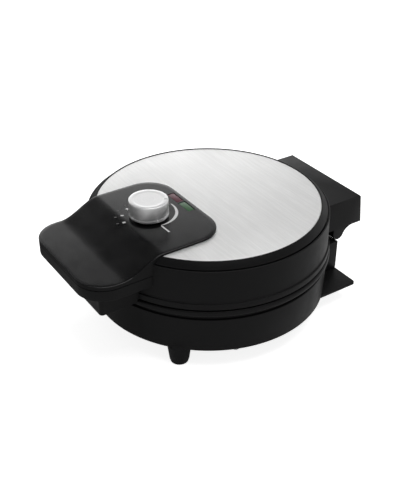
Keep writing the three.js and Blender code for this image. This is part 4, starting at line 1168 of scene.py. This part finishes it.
def screw_tree():
    """A screw with a cross recess at each point, its head below and its shank above, or turned over."""
    tree, add = tree_with(
        "cross_screws",
        ("Places", "NodeSocketGeometry"),
        ("Head radius", "NodeSocketFloat"),
        ("Head height", "NodeSocketFloat"),
        ("Shank radius", "NodeSocketFloat"),
        ("Length", "NodeSocketFloat"),
        ("Turned over", "NodeSocketFloat"),
    )
    given = add("NodeGroupInput").outputs
    radius, height = given["Head radius"], given["Head height"]
    head = add("GeometryNodeMeshCone", [
        ("Vertices", 40),
        ("Radius Bottom", times(add, radius, 0.84)),
        ("Radius Top", radius),
        ("Depth", height),
    ], fill_type="NGON").outputs["Mesh"]
    below = add("ShaderNodeCombineXYZ", [("Z", times(add, height, -1))]).outputs["Vector"]
    head = add("GeometryNodeTransform", [("Geometry", head), ("Translation", below)]).outputs["Geometry"]
    arms = []
    arm_length, arm_width = 1.2, 0.26  # of the head's radius
    for long_x, long_y in ((arm_length, arm_width), (arm_width, arm_length)):
        size = add("ShaderNodeCombineXYZ", [
            ("X", times(add, radius, long_x)),
            ("Y", times(add, radius, long_y)),
            ("Z", height),
        ]).outputs["Vector"]
        bar = add("GeometryNodeMeshCube", [("Size", size)]).outputs["Mesh"]
        arms.append(add("GeometryNodeTransform", [("Geometry", bar), ("Translation", below)]).outputs["Geometry"])
    recess = add("GeometryNodeMeshBoolean", operation="DIFFERENCE", solver="EXACT")
    tree.links.new(head, recess.inputs["Mesh 1"])
    for arm in arms:
        tree.links.new(arm, recess.inputs["Mesh 2"])
    shank = add("GeometryNodeMeshCylinder", [
        ("Vertices", 24),
        ("Radius", given["Shank radius"]),
        ("Depth", given["Length"]),
    ]).outputs["Mesh"]
    up = add("ShaderNodeCombineXYZ", [("Z", times(add, given["Length"], 0.5))]).outputs["Vector"]
    shank = add("GeometryNodeTransform", [("Geometry", shank), ("Translation", up)]).outputs["Geometry"]
    whole = add("GeometryNodeJoinGeometry")
    for part in (recess.outputs["Mesh"], shank):
        tree.links.new(part, whole.inputs["Geometry"])
    turn = add("ShaderNodeCombineXYZ", [("X", given["Turned over"])]).outputs["Vector"]
    screws = add("GeometryNodeInstanceOnPoints", [
        ("Points", given["Places"]),
        ("Instance", whole.outputs["Geometry"]),
        ("Rotation", turn),
    ])
    ended(add, screws.outputs["Instances"], zinc_plate)
    return tree


def screw_set(tree, nodes, turned_over=False):
    """All screws of one kind, put where their nodes are."""
    first_low, first_high = low(nodes[0]), high(nodes[0])
    seat_level = first_high.z - SCREW_HEAD if turned_over else first_low.z + SCREW_HEAD
    return node_made(
        nodes[0] + "_set",
        tree,
        [(*middle(node).xy, seat_level) for node in nodes],
        **{
            "Head radius": (first_high.x - first_low.x) / 2 * MM,
            "Head height": SCREW_HEAD * MM,
            "Shank radius": SHANK_RADIUS * MM,
            "Length": (first_high.z - first_low.z - SCREW_HEAD) * MM,
            "Turned over": pi if turned_over else 0.0,
        },
    )


def screws():
    tree = screw_tree()
    bracket = ["bracket_screw_left", "bracket_screw_right"]
    handle = ["handle_screw_left", "handle_screw_right"]
    base_set = merged("base_screws", screw_set(tree, COVER_SCREWS), screw_set(tree, LOWER_PLATE_SCREWS))
    dressed(base_set, zinc_plate, "base", "fixings", *COVER_SCREWS, *LOWER_PLATE_SCREWS)
    lid_parts = [screw_set(tree, UPPER_PLATE_SCREWS, True), screw_set(tree, bracket), screw_set(tree, handle)]
    lid_nodes = [*UPPER_PLATE_SCREWS, *bracket, *handle]
    dressed(merged("lid_screws", *lid_parts), zinc_plate, "lid", "fixings", *lid_nodes)


def hinge_pins():
    """Headed pins with a chamfered end, lying along the hinge's axis."""
    head_radius, head_height, chamfer = 4, 2, 0.8
    parts = []
    for side, node in ((-1, "hinge_pin_left"), (1, "hinge_pin_right")):
        inner, outer = sorted((abs(low(node).x), abs(high(node).x)))
        pin = turned("pin", [
            (0, inner, 0),
            (head_radius, inner, 0.6),
            (head_radius, inner + head_height, 0.2),
            (PIN_RADIUS, inner + head_height, 0.1),
            (PIN_RADIUS, outer - chamfer, 0.2),
            (PIN_RADIUS - chamfer, outer, 0.1),
            (0, outer, 0),
        ], sides=48)
        parts.append(moved(pin, (0, HINGE_Y, HINGE_Z), side * pi / 2, "Y"))
    return dressed(merged("hinge_pins", *parts), zinc_plate, "base", "fixings", "hinge_pin_left", "hinge_pin_right")


def inlet_bush():
    """Rubber bush in the post's rear wall, its mouth flared so that nothing chafes there."""
    lowest, highest = low(INLET_BUSH), high(INLET_BUSH)
    flange = (highest.x - lowest.x) / 2
    barrel, bore = flange - BUSH_FLANGE, flange - 3.6
    length = highest.y - lowest.y
    bush = turned("inlet_bush", [
        (bore, 0, 0.5),
        (barrel, 0, 0.4),
        (barrel, length - BUSH_FLANGE, 0.1),
        (flange, length - BUSH_FLANGE, 0.4),
        (flange, length, 1.0),
        (bore, length, 1.2),
    ], sides=96)
    moved(bush, (0, lowest.y, middle(INLET_BUSH).z), -pi / 2, "X")
    return dressed(bush, black_rubber, "base", "rubber", INLET_BUSH)


# Hot plates

def pocket_plan(inset):
    """Quarter pocket in the first quadrant with its corners rounded."""
    steps = 8
    side = RIDGE / 2 + inset
    reach = POCKET_REACH - inset
    corner = POCKET_CORNER - inset / 2
    inner = side + corner
    along = sqrt((reach - corner) ** 2 - inner ** 2)
    turn = atan2(inner, along)
    arcs = [
        (along, inner, corner, -pi / 2, turn, steps),
        (0, 0, reach, turn, pi / 2 - turn, 3 * steps),
        (inner, along, corner, pi / 2 - turn, pi, steps),
        (inner, inner, corner, pi, 1.5 * pi, steps),
    ]
    return [
        point
        for x, y, radius, first, last, count in arcs
        for point in arc((x, y), radius, first, last - first, count)
    ]


def pocket(quarter):
    """Cutter for one pocket, with a rounded floor edge and a rounded mouth."""
    fillet, mouth = 2.5, 1.0
    levels = [(POCKET_DRAFT + left, rise - POCKET_DEPTH) for left, rise in quarter_round(fillet, 5)]
    levels += [(-gone, -left) for left, gone in quarter_round(mouth, 4)]
    levels.append((-mouth, BEYOND))
    cutter = stacked("pocket", [level(pocket_plan(inset), height - PLATE_FACE) for inset, height in levels])
    return moved(cutter, (0, 0, 0), quarter * pi / 2, "Z")


def hot_plate(node, screws_in_it, turned_over):
    """Coated casting made face up below the parting plane. The lid's plate is then turned over."""
    back = -PLATE_FACE - PLATE_THICKNESS
    plate = turned(node + "_casting", [
        (0, back, 0),
        (PLATE_RADIUS, back, 1.0),
        (PLATE_RADIUS, -PLATE_FACE, 1.2),
        (0, -PLATE_FACE, 0),
    ])
    boss_foot = low(node).z - PARTING if not turned_over else PARTING - high(node).z
    bosses = []
    for screw in screws_in_it:
        x, y = middle(screw).x * (-1 if turned_over else 1), middle(screw).y - AXIS_Y
        tip = (high(screw).z - PARTING if not turned_over else PARTING - low(screw).z) + SEAT
        bosses.append(screw_boss("boss", boss_foot, back + BOSS_OVERLAP, tip, (x, y), 40))
    carved(plate, *(pocket(i) for i in range(4)))
    whole = merged(node + "_casting", plate, *bosses)
    moved(whole, (*BODY_AXIS, PARTING), pi if turned_over else 0, "Y")
    return dressed(whole, plate_coating, "lid" if turned_over else "base", "plate_coating", node)


# Prints on the panel

PRINT = 0.05  # how far a print stands above the panel, and how far it is sunk
ARC_RADIUS = 24.1  # of the crescent's middle line, whose centre is a little beside the knob's axis
ARC_CENTRE = (KNOB_AXIS[0] - 5.4, KNOB_AXIS[1] + 2.9)
ARC_START, ARC_SWEEP = -5, 101


def round_arc(reach, angle):
    return ARC_CENTRE[0] + reach * cos(angle), ARC_CENTRE[1] + reach * sin(angle)


def heat_mark():
    """White crescent beside the knob, widest in the middle."""
    steps, end_half, swell = 40, 0.35, 0.95
    outer, inner = [], []
    for i in range(steps + 1):
        share = i / steps
        angle = radians(ARC_START + ARC_SWEEP * share)
        half = end_half + swell * sin(pi * share) ** 0.8
        outer.append(round_arc(ARC_RADIUS + half, angle))
        inner.append(round_arc(ARC_RADIUS - half, angle))
    return upright("heat_mark", outer + inner[::-1], PANEL_TOP - PRINT, PANEL_TOP + PRINT)


def tick_tree(material):
    """Ticks round the upright axis through each point, one step of angle apart."""
    tree, add = tree_with(
        "dial_ticks",
        ("Axis", "NodeSocketGeometry"),
        ("Count", "NodeSocketInt"),
        ("Radius", "NodeSocketFloat"),
        ("Start", "NodeSocketFloat"),
        ("Step", "NodeSocketFloat"),
        ("Length", "NodeSocketFloat"),
        ("Width", "NodeSocketFloat"),
        ("Thickness", "NodeSocketFloat"),
    )
    given = add("NodeGroupInput").outputs
    size = add("ShaderNodeCombineXYZ", [("X", given["Length"]), ("Y", given["Width"]), ("Z", given["Thickness"])])
    bar = add("GeometryNodeMeshCube", [("Size", size.outputs["Vector"])]).outputs["Mesh"]
    out = add("ShaderNodeCombineXYZ", [("X", given["Radius"])]).outputs["Vector"]
    bar = add("GeometryNodeTransform", [("Geometry", bar), ("Translation", out)]).outputs["Geometry"]
    row = add("GeometryNodeMeshLine", [("Count", given["Count"]), ("Offset", (0, 0, 0))])
    number = add("GeometryNodeInputIndex").outputs["Index"]
    angle = add("ShaderNodeMath", [(0, times(add, number, given["Step"])), (1, given["Start"])], operation="ADD")
    turn = add("ShaderNodeCombineXYZ", [("Z", angle.outputs["Value"])]).outputs["Vector"]
    ticks = add("GeometryNodeInstanceOnPoints", [
        ("Points", row.outputs["Mesh"]),
        ("Instance", bar),
        ("Rotation", turn),
    ]).outputs["Instances"]
    dial = add("GeometryNodeInstanceOnPoints", [("Points", given["Axis"]), ("Instance", ticks)])
    ended(add, dial.outputs["Instances"], material)
    return tree


def ticks(tree, name, count, radius, start, step, length, width):
    return node_made(
        name,
        tree,
        [(*KNOB_AXIS, PANEL_TOP)],
        Count=count,
        Radius=radius * MM,
        Start=radians(start),
        Step=radians(step),
        Length=length * MM,
        Width=width * MM,
        Thickness=2 * PRINT * MM,
    )


def dial_prints():
    bright = tick_tree(dial_print)
    off_tick = ticks(bright, "off_tick", 1, 25.5, 2, 0, 12, 1.5)
    settings = ticks(bright, "setting_marks", 3, 23, -155.5, 29.4, 2.6, 2.2)
    dressed(merged("dial_prints", heat_mark(), off_tick, settings), dial_print, "lid", "panel_plastic")
    outer = ticks(tick_tree(faint_print), "outer_marks", 4, 28.5, -164, 22, 2.2, 1.4)
    dressed(outer, faint_print, "lid", "panel_plastic")


# Finishes of the solids that stay as they are, out of sight

def woven_sleeve(name):
    """Glass-fibre sleeve: a fine diagonal weave."""
    finish = Finish(name)
    weave = finish.add("ShaderNodeTexWave", bands_direction="DIAGONAL")
    weave.inputs["Scale"].default_value = 420
    finish.link(finish.place, weave.inputs["Vector"])
    finish.colour(finish.mixed(weave.outputs["Fac"], (0.50, 0.48, 0.42), (0.66, 0.64, 0.58)))
    finish.roughness(finish.span(finish.noise(300, 3), 0.3, 0.7, 0.6, 0.8))
    finish.bump(weave.outputs["Fac"], 0.4, 0.05)
    return finish.material


def lamp_envelope(name):
    finish = Finish(name)
    finish.colour(finish.mixed(finish.noise(200, 3), (0.72, 0.66, 0.60), (0.86, 0.80, 0.74)))
    finish.roughness(finish.span(finish.noise(400, 2), 0.3, 0.7, 0.08, 0.16))
    finish.bump(finish.noise(500, 2), 0.1, 0.02)
    finish.set(transmission=0.6, ior=1.5)
    return finish.material


def pressed_resin(name):
    """Brown moulding resin with a faint fleck."""
    finish = Finish(name)
    fleck = finish.span(finish.noise(1200, 2, 0.7), 0.55, 0.75, 0.0, 0.7)
    finish.colour(finish.mixed(fleck, (0.045, 0.026, 0.018), (0.10, 0.065, 0.045)))
    finish.roughness(finish.span(finish.noise(150, 3), 0.3, 0.7, 0.4, 0.55))
    finish.bump(finish.noise(900, 3), 0.2, 0.03)
    return finish.material


def hidden_finishes():
    finishes = {
        heater_sheath: ["lower_element", "upper_element"],
        pressed_sheet: ["lower_reflector", "upper_reflector", "thermal_fuse"],
        zinc_plate: ["thermostat", "thermostat_bracket", "knob_shaft"],
        woven_sleeve("glass_fibre_sleeve"): ["base_lead", "lid_lead"],
        lamp_envelope("lamp_envelope"): ["red_lamp", "green_lamp"],
        pressed_resin("brown_resin"): ["lamp_holder", "terminal_block"],
    }
    for material, nodes in finishes.items():
        for node in nodes:
            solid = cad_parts[node]
            solid.data.materials.clear()
            solid.data.materials.append(material)


# Scene

CAMERA_PLACE = (0.5455, -0.3657, 0.4753)
CAMERA_TURN = (-0.7007, 0.4628, -0.5430)
CAMERA_LENS = 61.2
LIT_POINT = (0, 0, 0.06)  # what the softboxes are aimed at
FLOOR_LIFT = 0.85  # for what the camera sees
GLOSS_LIFT = 0.1  # for what gloss and glass show
FLOOR_TONE = 0.86
SHADE_DEPTH = 0.9  # gloss shows the left of the floor and the low left of the room darker
SHADE_LEAN = 0.3  # how much the way to the front counts as the way to the left
FLOOR_SHADE = (-0.2, 0.05)  # metres from the left, where the shade is full and where it ends
ROOM_SHADE = (-0.6, -0.1)  # the same on the unit sphere of directions
LOW_SHADE = (0.08, 0.36)  # heights on it that the room's shade fades between
ROOM_LEVEL = 0.2  # what lights the object
HIGH_LEVEL = 0.03  # what gloss shows of the room high up
BRIGHT_BELOW = radians(22)
DARK_ABOVE = radians(38)


def camera():
    """Stands where the photograph was taken from."""
    data = bpy.data.cameras.new("photo_camera")
    data.sensor_fit = "VERTICAL"
    data.sensor_height = 36
    data.lens = CAMERA_LENS
    obj = placed("photo_camera", data)
    obj.location = CAMERA_PLACE
    obj.rotation_euler = Vector(CAMERA_TURN).to_track_quat("-Z", "Y").to_euler()
    bpy.context.scene.camera = obj


def softbox(name, place, size, watts):
    """A rectangular light that is aimed at the object."""
    data = bpy.data.lights.new(name, "AREA")
    data.shape = "RECTANGLE"
    data.size, data.size_y = size
    data.energy = watts
    obj = placed(name, data)
    obj.location = place
    obj.rotation_euler = (Vector(LIT_POINT) - Vector(place)).to_track_quat("-Z", "Y").to_euler()


def ray_kinds(tree):
    """Two sockets: 1 for what the camera sees, and 1 for what gloss and glass show."""
    path = tree.nodes.new("ShaderNodeLightPath").outputs
    return path["Is Camera Ray"], combined(tree, "MAXIMUM", path["Is Glossy Ray"], path["Is Transmission Ray"])


def left_shade(tree, place, across):
    """How dark gloss finds the studio, from nothing at the right to its full depth at the left."""
    split = tree.nodes.new("ShaderNodeSeparateXYZ")
    tree.links.new(place, split.inputs["Vector"])
    leaned = combined(tree, "MULTIPLY", split.outputs["Y"], SHADE_LEAN)
    towards = combined(tree, "ADD", split.outputs["X"], leaned)
    return carried(tree, towards, *across, SHADE_DEPTH, 0.0)


def floor():
    """Pale floor that takes the object's shadow, lifted to white where it is looked at."""
    mesh = bpy.data.meshes.new("floor")
    reach = 6
    corners = [(-reach, -reach, 0), (reach, -reach, 0), (reach, reach, 0), (-reach, reach, 0)]
    mesh.from_pydata(corners, [], [(0, 1, 2, 3)])
    obj = placed("floor", mesh)
    material = bpy.data.materials.new("pale_floor")
    material.use_nodes = True
    tree = material.node_tree
    surface = tree.nodes["Principled BSDF"]
    surface.inputs["Roughness"].default_value = 0.9
    surface.inputs["Specular IOR Level"].default_value = 0.1
    surface.inputs["Emission Color"].default_value = (1, 1, 1, 1)
    seen, shown = ray_kinds(tree)
    seen_lift = combined(tree, "MULTIPLY", seen, FLOOR_LIFT)
    shown_lift = combined(tree, "MULTIPLY", shown, GLOSS_LIFT)
    lift = combined(tree, "ADD", seen_lift, shown_lift)
    tree.links.new(lift, surface.inputs["Emission Strength"])
    shade = left_shade(tree, tree.nodes.new("ShaderNodeTexCoord").outputs["Object"], FLOOR_SHADE)
    kept = combined(tree, "SUBTRACT", 1.0, combined(tree, "MULTIPLY", shown, shade))
    tone = tree.nodes.new("ShaderNodeCombineColor")
    for channel in tone.inputs:
        if channel.name in ("Red", "Green", "Blue"):
            tree.links.new(combined(tree, "MULTIPLY", kept, FLOOR_TONE), channel)
    tree.links.new(tone.outputs["Color"], surface.inputs["Base Color"])
    mesh.materials.append(material)


def room():
    """White behind the object. Gloss shows it white near the ground, shaded at the low left, and dark above."""
    world = bpy.data.worlds.new("studio")
    bpy.context.scene.world = world
    world.use_nodes = True
    tree = world.node_tree
    background = tree.nodes["Background"]
    background.inputs["Color"].default_value = (1, 1, 1, 1)
    seen, shown = ray_kinds(tree)
    direction = tree.nodes.new("ShaderNodeTexCoord").outputs["Generated"]
    split = tree.nodes.new("ShaderNodeSeparateXYZ")
    tree.links.new(direction, split.inputs["Vector"])
    height = split.outputs["Z"]
    fade = carried(tree, height, sin(BRIGHT_BELOW), sin(DARK_ABOVE), 1.0, HIGH_LEVEL, "SMOOTHSTEP")
    lowness = carried(tree, height, *LOW_SHADE, 1.0, 0.0)
    shade = combined(tree, "MULTIPLY", left_shade(tree, direction, ROOM_SHADE), lowness)
    lit = combined(tree, "SUBTRACT", 1.0, shade)
    gloss = combined(tree, "MULTIPLY", combined(tree, "MULTIPLY", shown, lit), fade)
    unseen = combined(tree, "SUBTRACT", 1.0, combined(tree, "MAXIMUM", seen, shown))
    light = combined(tree, "MULTIPLY", unseen, ROOM_LEVEL)
    strength = combined(tree, "ADD", combined(tree, "ADD", seen, gloss), light)
    tree.links.new(strength, background.inputs["Strength"])


handle_panel()
lens("red_lens", red_window, "red_window")
lens("green_lens", green_window, "green_window")
steel_top()
top_bezel()
lid_shell()
handle_underside()
knob()
base_shell()
foot_pads()
base_cover()
screws()
hinge_pins()
inlet_bush()
hot_plate("lower_hot_plate", LOWER_PLATE_SCREWS, False)
hot_plate("upper_hot_plate", UPPER_PLATE_SCREWS, True)
dial_prints()
hidden_finishes()

camera()
floor()
room()
softbox("overhead", (0.05, 0.25, 1.6), (1.4, 1.4), 15)
softbox("behind_left", (-1.65, 0.6, 0.55), (1.6, 0.8), 5.4)
bpy.context.scene.view_settings.view_transform = "Standard"
